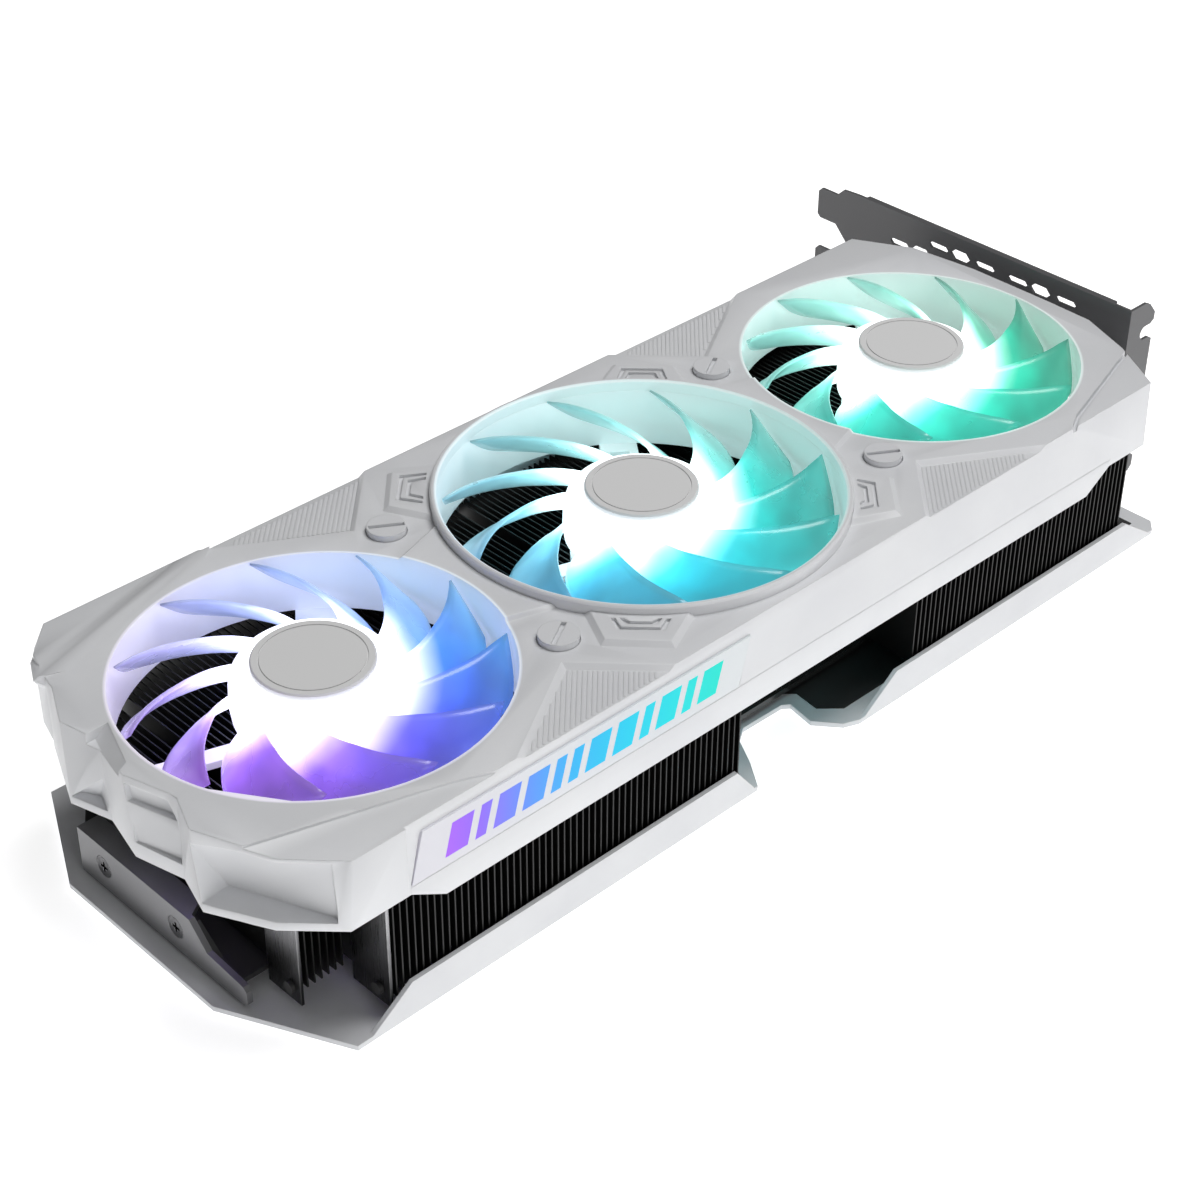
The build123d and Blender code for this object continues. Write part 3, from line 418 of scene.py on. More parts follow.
@dataclass(frozen=True)
class BrushedFinish(Finish):
    """Metal with streaks of brushing or rolling.

    Attributes:
        across: scale per metre along X, Y and Z; the smallest is the direction of the streaks.
    """

    across: Point = (3000.0, 40.0, 3000.0)

    def surface(self, g: Graph) -> tuple[Socket, Socket, Socket]:
        """Colour, roughness and normal, with the streaks in all three.

        Args:
            g: the material's graph.

        Returns:
            Sockets for Base Color, Roughness and Normal.
        """
        streaks = effect(g, "brush", dict(zip(("Across X", "Across Y", "Across Z"), self.across)))
        edges = effect(g, "edges", {"Radius": self.radius})
        colour = g.mix(streaks.outputs["Tone"], self.base, self.shade)
        # painted highlight along the rounded edges
        colour = g.mix(edges.outputs["Mask"], colour, self.edge)
        middle, spread = self.rough
        rough = g.span(streaks.outputs["Tone"], 0.0, 1.0, middle - spread, middle + spread)
        bump = g.add("ShaderNodeBump",
                     {"Strength": 0.6, "Distance": self.depth, "Height": streaks.outputs["Height"],
                                        "Normal": edges.outputs["Normal"]})
        return colour, rough, bump.outputs[0]


@dataclass(frozen=True)
class GapReflectionMetal(BrushedFinish):
    """Bare metal that stands over the dark gap at the backplate, with a painted reflection of that gap that
    darkens it towards the backplate.
    """

    def surface(self, g: Graph) -> tuple[Socket, Socket, Socket]:
        """Colour, roughness and normal, with a painted dark reflection near the backplate.

        Args:
            g: the material's graph.

        Returns:
            Sockets for Base Color, Roughness and Normal.
        """
        colour, rough, normal = super().surface(g)
        height = g.add("ShaderNodeSeparateXYZ", {0: g.place()}).outputs[2]
        # painted reflection of the dark gap: mostly dark at 10 mm, fading out by 32 mm
        return g.mix(g.span(height, 0.010, 0.032, 0.9, 0.0), colour, srgb(24, 24, 25)), rough, normal


@dataclass(frozen=True)
class FinFinish(Finish):
    """Coated fin sheet whose free edges catch the light."""

    def surface(self, g: Graph) -> tuple[Socket, Socket, Socket]:
        """Darker on the faces of the sheet, with a painted highlight on its cut edges.

        Args:
            g: the material's graph.

        Returns:
            Sockets for Base Color, Roughness and Normal.
        """
        colour, rough, _ = super().surface(g)
        normal = g.add("ShaderNodeNewGeometry").outputs["Normal"]
        # painted highlight on the sheets' cut edges
        return g.mix(self.cut_edge(g), colour, self.edge), rough, normal

    def cut_edge(self, g: Graph) -> Socket:
        """Mask of the sheets' cut edges, which don't face along X.

        Args:
            g: the material's graph.

        Returns:
            A mask, 1 on the cut edges.
        """
        normal = g.add("ShaderNodeNewGeometry").outputs["Normal"]
        across = g.math("ABSOLUTE", g.add("ShaderNodeSeparateXYZ", {0: normal}).outputs[0])
        return g.span(across, 0.3, 0.7, 1.0, 0.0)

    def finish_shader(self, g: Graph, shader: bpy.types.Node) -> None:
        """Adds the fans' light on the cut edges.

        Args:
            g: the material's graph.
            shader: the material's Principled BSDF.
        """
        light = g.mix(self.cut_edge(g), (0.0, 0.0, 0.0), effect(g, "spill", {}).outputs["Colour"])
        g.tree.links.new(light, shader.inputs["Emission Color"])
        shader.inputs["Emission Strength"].default_value = self.spill


@dataclass(frozen=True)
class BoardFinish(Finish):
    """Solder mask over copper, with the bare laminate showing at the sides."""

    laminate: Colour = srgb(172, 160, 120)

    def surface(self, g: Graph) -> tuple[Socket, Socket, Socket]:
        """Traces and ground fill as slow steps under the mask, and laminate on upright faces.

        Args:
            g: the material's graph.

        Returns:
            Sockets for Base Color, Roughness and Normal.
        """
        colour, rough, _ = super().surface(g)
        place = g.place()
        cells = g.add("ShaderNodeTexVoronoi", {"Vector": place, "Scale": 260.0, "Randomness": 0.6},
                      distance="MANHATTAN").outputs["Distance"]
        traces = g.math("FRACT", g.math("MULTIPLY", cells, 6.0))
        step = g.span(traces, 0.42, 0.52, 0.0, 1.0)
        colour = g.mix(g.math("MULTIPLY", step, 0.5), colour, self.shade)
        geometry = g.add("ShaderNodeNewGeometry").outputs["Normal"]
        upright = g.span(g.math("ABSOLUTE", g.add("ShaderNodeSeparateXYZ", {0: geometry}).outputs[2]),
                         0.4, 0.6, 1.0, 0.0)
        colour = g.mix(upright, colour, self.laminate)
        bump = g.add("ShaderNodeBump", {"Strength": 0.4, "Distance": 0.00002, "Height": step})
        return colour, rough, bump.outputs[0]


@dataclass(frozen=True)
class LitFinish(Finish):
    """Milky or frosted plastic lit from inside.

    Attributes:
        stops: places along X in metres with the light's colour there.
        centre: X of the axis the light falls off from, or None for an even light.
        fall: radius in metres to emission strength, from the axis outwards.
        clear: transmission weight.
        tint: how far the light's colour is painted into the plastic's own colour.
    """

    stops: tuple[tuple[float, Colour], ...] = ()
    centre: float | None = None
    fall: tuple[tuple[float, float], ...] = ((0.0, 1.0),)
    clear: float = 0.0
    tint: float = 0.0

    def finish_shader(self, g: Graph, shader: bpy.types.Node) -> None:
        """Adds the light: its colour runs along the card, its strength falls off from the axis.

        Args:
            g: the material's graph.
            shader: the material's Principled BSDF.
        """
        place = g.add("ShaderNodeSeparateXYZ", {0: g.place()})
        first, last = self.stops[0][0], self.stops[-1][0]
        along = g.span(place.outputs[0], first, last, 0.0, 1.0)
        hue = g.ramp(along, [((x - first) / (last - first), colour) for x, colour in self.stops])
        lit, strength = hue, self.fall[0][1]
        if self.centre is not None:
            dx = g.math("SUBTRACT", place.outputs[0], self.centre)
            far = g.math("SQRT", g.math("ADD", g.math("MULTIPLY", dx, dx),
                                        g.math("MULTIPLY", place.outputs[1], place.outputs[1])))
            strength = max(value for _, value in self.fall)
            reach = self.fall[-1][0]
            level = g.ramp(g.span(far, 0.0, reach, 0.0, 1.0),
                           [(r / reach, (value / strength,) * 3) for r, value in self.fall])
            # painted sheen: the light is paler towards +Y, the far side of each fan
            pale = g.span(place.outputs[1], -0.012, 0.034, 0.0, 0.55)
            hue = g.mix(pale, hue, (0.85, 1.0, 1.0))
            white = g.span(far, self.fall[0][0] + 0.003, self.fall[0][0] + 0.013, 0.95, 0.0)
            cloud = g.span(g.noise(70.0, g.place(), 2.0), 0.35, 0.65, 0.55, 1.25)
            level = g.mix(white, g.add("ShaderNodeVectorMath", {0: level, 3: cloud},
                                       operation="SCALE").outputs[0], level)
            glow = g.mix(white, hue, (1.0, 1.0, 1.0))
            lit = g.add("ShaderNodeVectorMath", {0: glow, 1: level}, operation="MULTIPLY").outputs[0]
        g.tree.links.new(lit, shader.inputs["Emission Color"])
        shader.inputs["Emission Strength"].default_value = strength
        shader.inputs["Transmission Weight"].default_value = self.clear
        # painted light: the plastic's own colour takes the light's hue
        if self.tint:
            base = shader.inputs["Base Color"].links[0].from_socket
            g.tree.links.new(g.mix(self.tint, base, hue), shader.inputs["Base Color"])


WHITE = srgb(226, 227, 229)
SIDE_LIGHT = tuple((x * MM, srgb(*rgb)) for x, rgb in (
    (-122, (186, 100, 255)), (-108, (150, 110, 255)), (-94, (96, 150, 255)), (-80, (40, 185, 250)),
    (-62, (0, 212, 245)), (-45, (0, 228, 232)), (-20, (0, 236, 200))))

# The third colour of every finish is the painted highlight along its edges.
SHELL_WHITE = Finish("shell_white", WHITE, srgb(220, 221, 224), srgb(240, 240, 241), (0.38, 0.05),
                     grain=1800.0, depth=0.000012, radius=0.0004, dust=0.04, spill=0.42)
PAINTED_WHITE = Finish("painted_white", srgb(222, 223, 225), srgb(214, 215, 218), srgb(236, 236, 236),
                       (0.42, 0.05), coat=0.1, grain=1400.0, depth=0.00002, radius=0.0003)
CAP_GREY = Finish("cap_grey", srgb(236, 236, 238), srgb(229, 230, 232), srgb(248, 248, 248), (0.34, 0.04),
                  coat=0.15, grain=3000.0, depth=0.000006, radius=0.0003)
DARK_STEEL = BrushedFinish("dark_steel", srgb(66, 66, 68), srgb(52, 52, 54), srgb(120, 120, 122),
                           (0.36, 0.08), 1.0)
BRIGHT_STEEL = BrushedFinish("bright_steel", srgb(190, 190, 192), srgb(165, 165, 168), srgb(230, 230, 230),
                             (0.28, 0.08), 1.0, across=(3000.0, 3000.0, 60.0), depth=0.000006)
BRUSHED_BAR = BrushedFinish("brushed_bar", srgb(50, 50, 51), srgb(34, 34, 36), srgb(235, 235, 235),
                            (0.26, 0.08), 1.0, across=(4000.0, 30.0, 5000.0), depth=0.00001, radius=0.0009)
BRACKET_METAL = BrushedFinish("bracket_metal", srgb(120, 120, 120), srgb(100, 100, 101), srgb(190, 190, 190),
                              (0.34, 0.07), 1.0, across=(3500.0, 60.0, 3500.0), depth=0.000005, radius=0.0003)
NICKEL = BrushedFinish("nickel", srgb(178, 176, 170), srgb(160, 158, 152), srgb(225, 224, 220),
                       (0.24, 0.06), 1.0, across=(900.0, 900.0, 900.0), depth=0.000004)
COPPER = BrushedFinish("copper", srgb(196, 122, 84), srgb(170, 96, 62), srgb(235, 170, 130), (0.3, 0.08), 1.0,
                       across=(60.0, 3000.0, 3000.0), depth=0.000005)
GOLD = BrushedFinish("gold", srgb(225, 180, 96), srgb(205, 158, 74), srgb(250, 220, 150), (0.24, 0.06), 1.0,
                     across=(4000.0, 200.0, 4000.0), depth=0.000003, radius=0.0001)
BRASS = BrushedFinish("brass", srgb(196, 164, 96), srgb(170, 138, 74), srgb(235, 210, 150), (0.3, 0.06), 1.0,
                      across=(2000.0, 2000.0, 2000.0), depth=0.000004, radius=0.0002)
SCREW_CHROME = BrushedFinish("screw_chrome", srgb(112, 112, 114), srgb(82, 82, 84), srgb(215, 215, 215),
                             (0.2, 0.06), 1.0, across=(900.0, 900.0, 900.0), depth=0.000004, radius=0.0002)
END_PLATE_METAL = GapReflectionMetal("end_plate_metal", srgb(168, 168, 170), srgb(140, 140, 143),
                              srgb(225, 225, 225),
                              (0.3, 0.08), 1.0, across=(3000.0, 3000.0, 60.0), depth=0.000006)
ALUMINIUM = BrushedFinish("aluminium", srgb(196, 197, 199), srgb(172, 173, 176), srgb(236, 236, 236),
                          (0.32, 0.07), 1.0, across=(2500.0, 2500.0, 80.0), depth=0.000004)
BLACK_FIN = FinFinish("black_fin", srgb(38, 38, 40), srgb(28, 28, 30), srgb(205, 207, 210), (0.38, 0.06), 0.3,
                      depth=0.000004, dust=0.0, spill=2.8)
BLACK_PLASTIC = Finish("black_plastic", srgb(26, 26, 27), srgb(20, 20, 21), srgb(56, 56, 58), (0.42, 0.06),
                       depth=0.000012, radius=0.0003, dust=0.05)
LEAD_RUBBER = Finish("lead_rubber", srgb(20, 20, 21), srgb(14, 14, 15), srgb(36, 36, 38), (0.5, 0.06),
                     grain=3500.0, depth=0.00001, radius=0.0002)
BLACK_METAL = Finish("black_metal", srgb(34, 34, 35), srgb(26, 26, 27), srgb(84, 84, 86), (0.36, 0.06), 0.4,
                     grain=2000.0, depth=0.00001, radius=0.0003)
BLACK_FILM = Finish("black_film", srgb(16, 16, 17), srgb(22, 22, 23), srgb(40, 40, 42), (0.3, 0.08),
                    coat=0.2, grain=900.0, depth=0.00002, radius=0.0001)
BOARD_BLACK = BoardFinish("board_black", srgb(16, 17, 18), srgb(24, 26, 27), srgb(40, 42, 42), (0.36, 0.06),
                          coat=0.2, dust=0.03)
PACKAGE_GREEN = Finish("package_green", srgb(30, 62, 44), srgb(24, 52, 38), srgb(60, 92, 70), (0.4, 0.06),
                       grain=1500.0, radius=0.0001)
SILICON = Finish("silicon", srgb(74, 76, 84), srgb(60, 62, 70), srgb(110, 112, 120), (0.14, 0.04), 0.6,
                 grain=600.0, depth=0.000002, radius=0.0001, dust=0.0)
PAD_GREY = Finish("pad_grey", srgb(128, 136, 142), srgb(112, 120, 128), srgb(150, 156, 160), (0.72, 0.06),
                  grain=1200.0, depth=0.00004, radius=0.0003)
CHOKE_GREY = Finish("choke_grey", srgb(66, 67, 70), srgb(54, 55, 58), srgb(96, 97, 100), (0.55, 0.08),
                    grain=1600.0, depth=0.00004, radius=0.0003)
DIFFUSER = LitFinish("milky_insert", srgb(222, 223, 226), srgb(217, 218, 222), srgb(236, 236, 240),
                     (0.38, 0.04), radius=0.0002, dust=0.0, stops=SIDE_LIGHT, fall=((0.0, 0.03),))
LIT_MARK = LitFinish("lit_mark", srgb(12, 14, 18), srgb(9, 11, 15), srgb(24, 26, 30), (0.7, 0.04),
                     radius=0.0001, dust=0.0, stops=SIDE_LIGHT, fall=((0.0, 0.95),))

NODE_FINISHES: dict[str, Finish] = {
    "light_strip": BOARD_BLACK, "ring_trim": SHELL_WHITE, "slotted_bosses": SHELL_WHITE,
    "lead_plugs": BLACK_PLASTIC, "heat_pipes": COPPER, "cold_plate": COPPER,
    "fin_end_plates": END_PLATE_METAL,
    "end_plate_screws": BLACK_METAL, "circuit_board": BOARD_BLACK, "edge_contacts": GOLD,
    "chip_package": PACKAGE_GREEN, "chip_die": SILICON, "memory_chips": BLACK_PLASTIC,
    "thermal_pads": PAD_GREY,
    "power_chokes": CHOKE_GREY, "power_stages": BLACK_PLASTIC, "capacitors": ALUMINIUM,
    "power_socket": BLACK_PLASTIC, "power_pins": GOLD, "backplate": PAINTED_WHITE,
    "insulating_film": BLACK_FILM,
    "backplate_screws": BLACK_METAL, "retention_plate": BLACK_METAL, "retainer_screws": NICKEL,
    "support_frame": BLACK_METAL, "tail_support_bar": BRUSHED_BAR, "support_bar_screws": SCREW_CHROME,
    "slot_bracket": BRACKET_METAL, "bracket_screws": BRIGHT_STEEL, "display_sockets": NICKEL,
    "display_tongues": BLACK_PLASTIC,
}
FAN_NODE_FINISHES: dict[str, Finish] = {
    "hub_cap": CAP_GREY, "magnet_ring": DARK_STEEL, "shaft": BRIGHT_STEEL, "bearing": BRASS,
    "fan_frame": SHELL_WHITE, "stator": COPPER, "fan_lead": LEAD_RUBBER, "fin_stack": BLACK_FIN,
}


# ---------------------------------------------------------------- meshes
def new_piece(name: str, mesh: bpy.types.Mesh, finish: Finish, body: Body, slot: Slot) -> bpy.types.Object:
    """Makes a piece from a mesh and puts it on its body.

    Args:
        name: the piece's name.
        mesh: its mesh, in metres, in the card's frame.
        finish: its finish.
        body: the body it rides on.
        slot: the record's material slot it belongs to; not used.

    Returns:
        The new object.
    """
    piece = bpy.data.objects.new(name, mesh)
    bpy.context.scene.collection.objects.link(piece)
    mesh.materials.clear()
    mesh.materials.append(finish.material())
    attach(piece, body.value)
    LOG.info("%s: %d faces on %s", name, len(mesh.polygons), body.value)
    return piece


def mesh_of(name: str, points: Sequence[Point], faces: Iterable[Sequence[int]], smooth: bool = False,
            unit: float = MM) -> bpy.types.Mesh:
    """Mesh from points and faces, with its normals turned outwards.

    Args:
        name: the mesh's name.
        points: its points.
        faces: point numbers of each face.
        smooth: whether its faces are shaded smooth.
        unit: metres per unit of the points.

    Returns:
        The mesh.
    """
    mesh = bpy.data.meshes.new(name)
    mesh.from_pydata([tuple(c * unit for c in point) for point in points], [],
                     [tuple(face) for face in faces])
    work = bmesh.new()
    work.from_mesh(mesh)
    bmesh.ops.recalc_face_normals(work, faces=work.faces)
    work.to_mesh(mesh)
    work.free()
    mesh.polygons.foreach_set("use_smooth", [smooth] * len(mesh.polygons))
    return mesh


def prism(outline: Sequence[Flat], low: float, high: float,
          place: Callable[[float, float, float], Point]) -> tuple[list[Point], list[list[int]]]:
    """Points and faces of a prism.

    Args:
        outline: corners in the prism's own plane.
        low: first height.
        high: second height.
        place: turns two plane coordinates and a height into a point.

    Returns:
        Points and faces, ready for mesh_of.
    """
    count = len(outline)
    points = [place(u, v, height) for height in (low, high) for u, v in outline]
    faces = [list(range(count)), list(range(count, 2 * count))]
    faces += [[k, (k + 1) % count, count + (k + 1) % count, count + k] for k in range(count)]
    return points, faces


def joined(parts: Iterable[tuple[list[Point], list[list[int]]]]) -> tuple[list[Point], list[list[int]]]:
    """Several point-and-face lists as one.

    Args:
        parts: pairs of points and faces.

    Returns:
        All their points and faces.
    """
    points: list[Point] = []
    faces: list[list[int]] = []
    for part_points, part_faces in parts:
        base = len(points)
        points += part_points
        faces += [[base + k for k in face] for face in part_faces]
    return points, faces


def soften(piece: bpy.types.Object, width: float, segments: int = 2, angle: float = 28.0) -> None:
    """Rounds a piece's edges with a bevel that keeps flat faces flat.

    Args:
        piece: the piece, shaded smooth from here on.
        width: edge radius in millimetres.
        segments: steps across the rounding.
        angle: smallest angle in degrees that counts as an edge.
    """
    bevel = piece.modifiers.new("rounding", "BEVEL")
    bevel.width = width * MM
    bevel.segments = segments
    bevel.limit_method = "ANGLE"
    bevel.angle_limit = math.radians(angle)
    bevel.harden_normals = True
    bevel.use_clamp_overlap = True
    piece.data.polygons.foreach_set("use_smooth", [True] * len(piece.data.polygons))


def upright(x: float, y: float, z: float) -> Point:
    """A prism that stands along Z."""
    return (x, y, z)


def sideways(x: float, z: float, y: float) -> Point:
    """A prism that stands along Y."""
    return (x, y, z)


@dataclass
class Rotor:
    """One fan rotor: eleven swept, frosted blades round a lit hub.

    Attributes:
        name: fan name, as in the frame's nodes.
        body: the body it rides on.
        axis_x: X of its axis.
        tip_r: radius of the blade tips.
        tip_z: height of the leading edge at the tip.
        phase: angle of the first tip in degrees.
        blades: number of blades.
        root_r: radius of the blade roots.
        thick: what is laid on each side of a blade's middle surface, less at its rim.
        rows: points of a blade along its span.
        columns: points of a blade from its leading to its trailing edge.
        stations: share of the span, sweep of the leading edge and chord angle there, and the heights of
            the leading and the trailing edge.
    """

    name: str
    body: Body
    axis_x: float
    tip_r: float
    tip_z: float
    phase: float
    blades: int = 11
    root_r: float = 18.6
    thick: float = 0.75
    rows: int = 16
    columns: int = 11
    stations: tuple[tuple[float, float, float, float, float], ...] = (
        (0.0, -40.0, 30.0, -1.6, -12.4), (0.2, -31.0, 30.0, -0.9, -12.8), (0.45, -19.5, 28.0, -0.3, -13.0),
        (0.7, -10.5, 25.0, 0.0, -12.8), (0.88, -4.0, 22.0, 0.0, -12.0), (1.0, 0.0, 17.0, -0.6, -10.6))

    def station(self, share: float) -> tuple[float, float, float, float]:
        """Blade values at a share of the span, between the stations.

        Args:
            share: share of the span, 0 at the root and 1 at the tip.

        Returns:
            Sweep, chord angle, and the heights of the leading and the trailing edge.
        """
        for low, high in zip(self.stations, self.stations[1:]):
            if share <= high[0] + 1e-9:
                t = (share - low[0]) / (high[0] - low[0])
                return tuple(a + (b - a) * t for a, b in zip(low[1:], high[1:]))
        return self.stations[-1][1:]

    def blade_point(self, share: float, across: float) -> Vector:
        """Point of the blade's middle surface; across runs from the leading edge to the trailing edge.

        Args:
            share: share of the span.
            across: share of the chord.

        Returns:
            The point in millimetres.
        """
        sweep, chord, lead_z, trail_z = self.station(share)
        bow = 1.5 * math.sin(math.pi * across) * (0.4 + 0.6 * share)
        angle = math.radians(self.phase + sweep - chord * across)
        tip = self.tip_r - 1.6 * max(0.0, across - 0.55) ** 1.5 * share
        radius = self.root_r + (tip - self.root_r) * share
        height = self.tip_z + lead_z + (trail_z - lead_z) * across ** 1.08 - bow
        return Vector((self.axis_x + radius * math.cos(angle), radius * math.sin(angle), height))

    def blade_surfaces(self) -> tuple[list[Vector], list[list[int]]]:
        """Upper and lower skin of one blade, closed round its edge.

        Returns:
            Points and faces of the first blade.
        """
        grid = [[self.blade_point(i / (self.rows - 1), j / (self.columns - 1)) for j in range(self.columns)]
                for i in range(self.rows)]
        upper, lower = [], []
        for i in range(self.rows):
            for j in range(self.columns):
                along = grid[min(i + 1, self.rows - 1)][j] - grid[max(i - 1, 0)][j]
                around = grid[i][min(j + 1, self.columns - 1)] - grid[i][max(j - 1, 0)]
                normal = along.cross(around).normalized()
                rim = min(j, self.columns - 1 - j, self.rows - 1 - i)
                half = self.thick * (0.38 if rim == 0 else 0.8 if rim == 1 else 1.0)
                upper.append(grid[i][j] + normal * half)
                lower.append(grid[i][j] - normal * half)
        count = self.rows * self.columns
        faces = []
        for i in range(self.rows - 1):
            for j in range(self.columns - 1):
                a = i * self.columns + j
                quad = [a, a + 1, a + self.columns + 1, a + self.columns]
                faces += [quad, [count + k for k in reversed(quad)]]
        border = ([j for j in range(self.columns)]
                  + [i * self.columns + self.columns - 1 for i in range(1, self.rows)]
                  + [(self.rows - 1) * self.columns + j for j in range(self.columns - 2, -1, -1)]
                  + [i * self.columns for i in range(self.rows - 2, 0, -1)])
        for a, b in zip(border, border[1:] + border[:1]):
            faces.append([a, b, count + b, count + a])
        return upper + lower, faces

    def blade_set(self) -> tuple[list[Point], list[list[int]]]:
        """All the blades.

        Returns:
            Points and faces, ready for mesh_of.
        """
        points, faces = self.blade_surfaces()
        parts = []
        centre = Vector((self.axis_x, 0, 0))
        for k in range(self.blades):
            turn = Matrix.Rotation(2 * math.pi * k / self.blades, 3, "Z")
            parts.append(([tuple(turn @ (p - centre) + centre) for p in points], faces))
        return joined(parts)

    def hub(self, around: int = 96) -> tuple[list[Point], list[list[int]]]:
        """Flared hub shell that carries the blades, turned from its profile.

        Args:
            around: number of steps round the axis.

        Returns:
            Points and faces, ready for mesh_of.
        """
        profile = [(15.0, 57.2), (15.6, 57.9), (16.8, 57.9), (18.4, 57.1), (19.6, 55.4), (20.3, 52.5),
                   (20.5, 48.0), (20.1, 44.2), (19.3, 43.4), (17.2, 43.4), (17.0, 52.6), (14.9, 53.2)]
        points = [(self.axis_x + r * math.cos(a), r * math.sin(a), z)
                  for a in (2 * math.pi * k / around for k in range(around)) for r, z in profile]
        size = len(profile)
        faces = [[k * size + i, ((k + 1) % around) * size + i, ((k + 1) % around) * size + (i + 1) % size,
                  k * size + (i + 1) % size] for k in range(around) for i in range(size)]
        return points, faces

    def lit(self, name: str, fall: tuple[tuple[float, float], ...], clear: float, tint: float) -> LitFinish:
        """Frosted finish lit from this fan's axis.

        Args:
            name: the material's name.
            fall: radius in metres to emission strength.
            clear: transmission weight.
            tint: how far the light's colour is painted into the plastic's own colour.

        Returns:
            The finish.
        """
        return LitFinish(name, srgb(214, 222, 230), srgb(204, 216, 228), srgb(240, 244, 248), (0.3, 0.05),
                         coat=0.3, grain=1500.0, depth=0.00001, radius=0.0003, dust=0.0, stops=FAN_LIGHT,
                         centre=self.axis_x * MM, fall=fall, clear=clear, tint=tint)

    def build(self) -> None:
        """Makes the blades and the hub, which stand for the frame's rotor."""
        blade_fall = ((0.018, 2.2), (0.025, 1.35), (0.031, 0.62), (0.039, 0.26), (0.052, 0.12))
        hub_fall = ((0.014, 1.7), (0.022, 1.5))
        points, faces = self.blade_set()
        blades = new_piece(f"blades_{self.name}", mesh_of("blades", points, faces, smooth=True),
                           self.lit(f"frosted_blade_{self.name}", blade_fall, 0.4, 0.75), self.body,
                           Slot.FROSTED_BLADE)
        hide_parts(f"rotor_{self.name}")
        points, faces = self.hub()
        new_piece(f"hub_{self.name}", mesh_of("hub", points, faces, smooth=True),
                  self.lit(f"lit_hub_{self.name}", hub_fall, 0.0, 0.0), self.body, Slot.FROSTED_BLADE)


def hull(points: Sequence[Point]) -> bpy.types.Mesh:
    """Closed convex mesh round some points given in millimetres.

    Args:
        points: corners and any points between them.

    Returns:
        The mesh.
    """
    mesh = bpy.data.meshes.new("hull")
    work = bmesh.new()
    for point in points:
        work.verts.new([c * MM for c in point])
    result = bmesh.ops.convex_hull(work, input=work.verts)
    inside = [v for v in result["geom_interior"] if isinstance(v, bmesh.types.BMVert)]
    bmesh.ops.delete(work, geom=inside, context="VERTS")
    bmesh.ops.dissolve_limit(work, angle_limit=math.radians(0.5), verts=work.verts, edges=work.edges)
    bmesh.ops.recalc_face_normals(work, faces=work.faces)
    work.to_mesh(mesh)
    work.free()
    return mesh


def stacked(levels: Sequence[tuple[float, Sequence[Flat]]]) -> list[Point]:
    """Points of several flat outlines, each at its own height."""
    return [(x, y, z) for z, outline in levels for x, y in outline]


def carve(mesh: bpy.types.Mesh, steps: Sequence[tuple[str, bpy.types.Mesh]]) -> bpy.types.Mesh:
    """Adds and removes solids, one after the other.

    Args:
        mesh: the solid to start from.
        steps: pairs of UNION or DIFFERENCE and a closed mesh.

    Returns:
        A new mesh.
    """
    work = bpy.data.objects.new("carving", mesh)
    bpy.context.scene.collection.objects.link(work)
    tools = []
    for operation, tool_mesh in steps:
        tool = bpy.data.objects.new("tool", tool_mesh)
        bpy.context.scene.collection.objects.link(tool)
        tools.append(tool)
        cut = work.modifiers.new("cut", "BOOLEAN")
        cut.operation = operation
        cut.object = tool
        cut.solver = "EXACT"
    depsgraph = bpy.context.evaluated_depsgraph_get()
    result = bpy.data.meshes.new_from_object(work.evaluated_get(depsgraph), depsgraph=depsgraph)
    for piece in (work, *tools):
        bpy.data.objects.remove(piece)
    return result


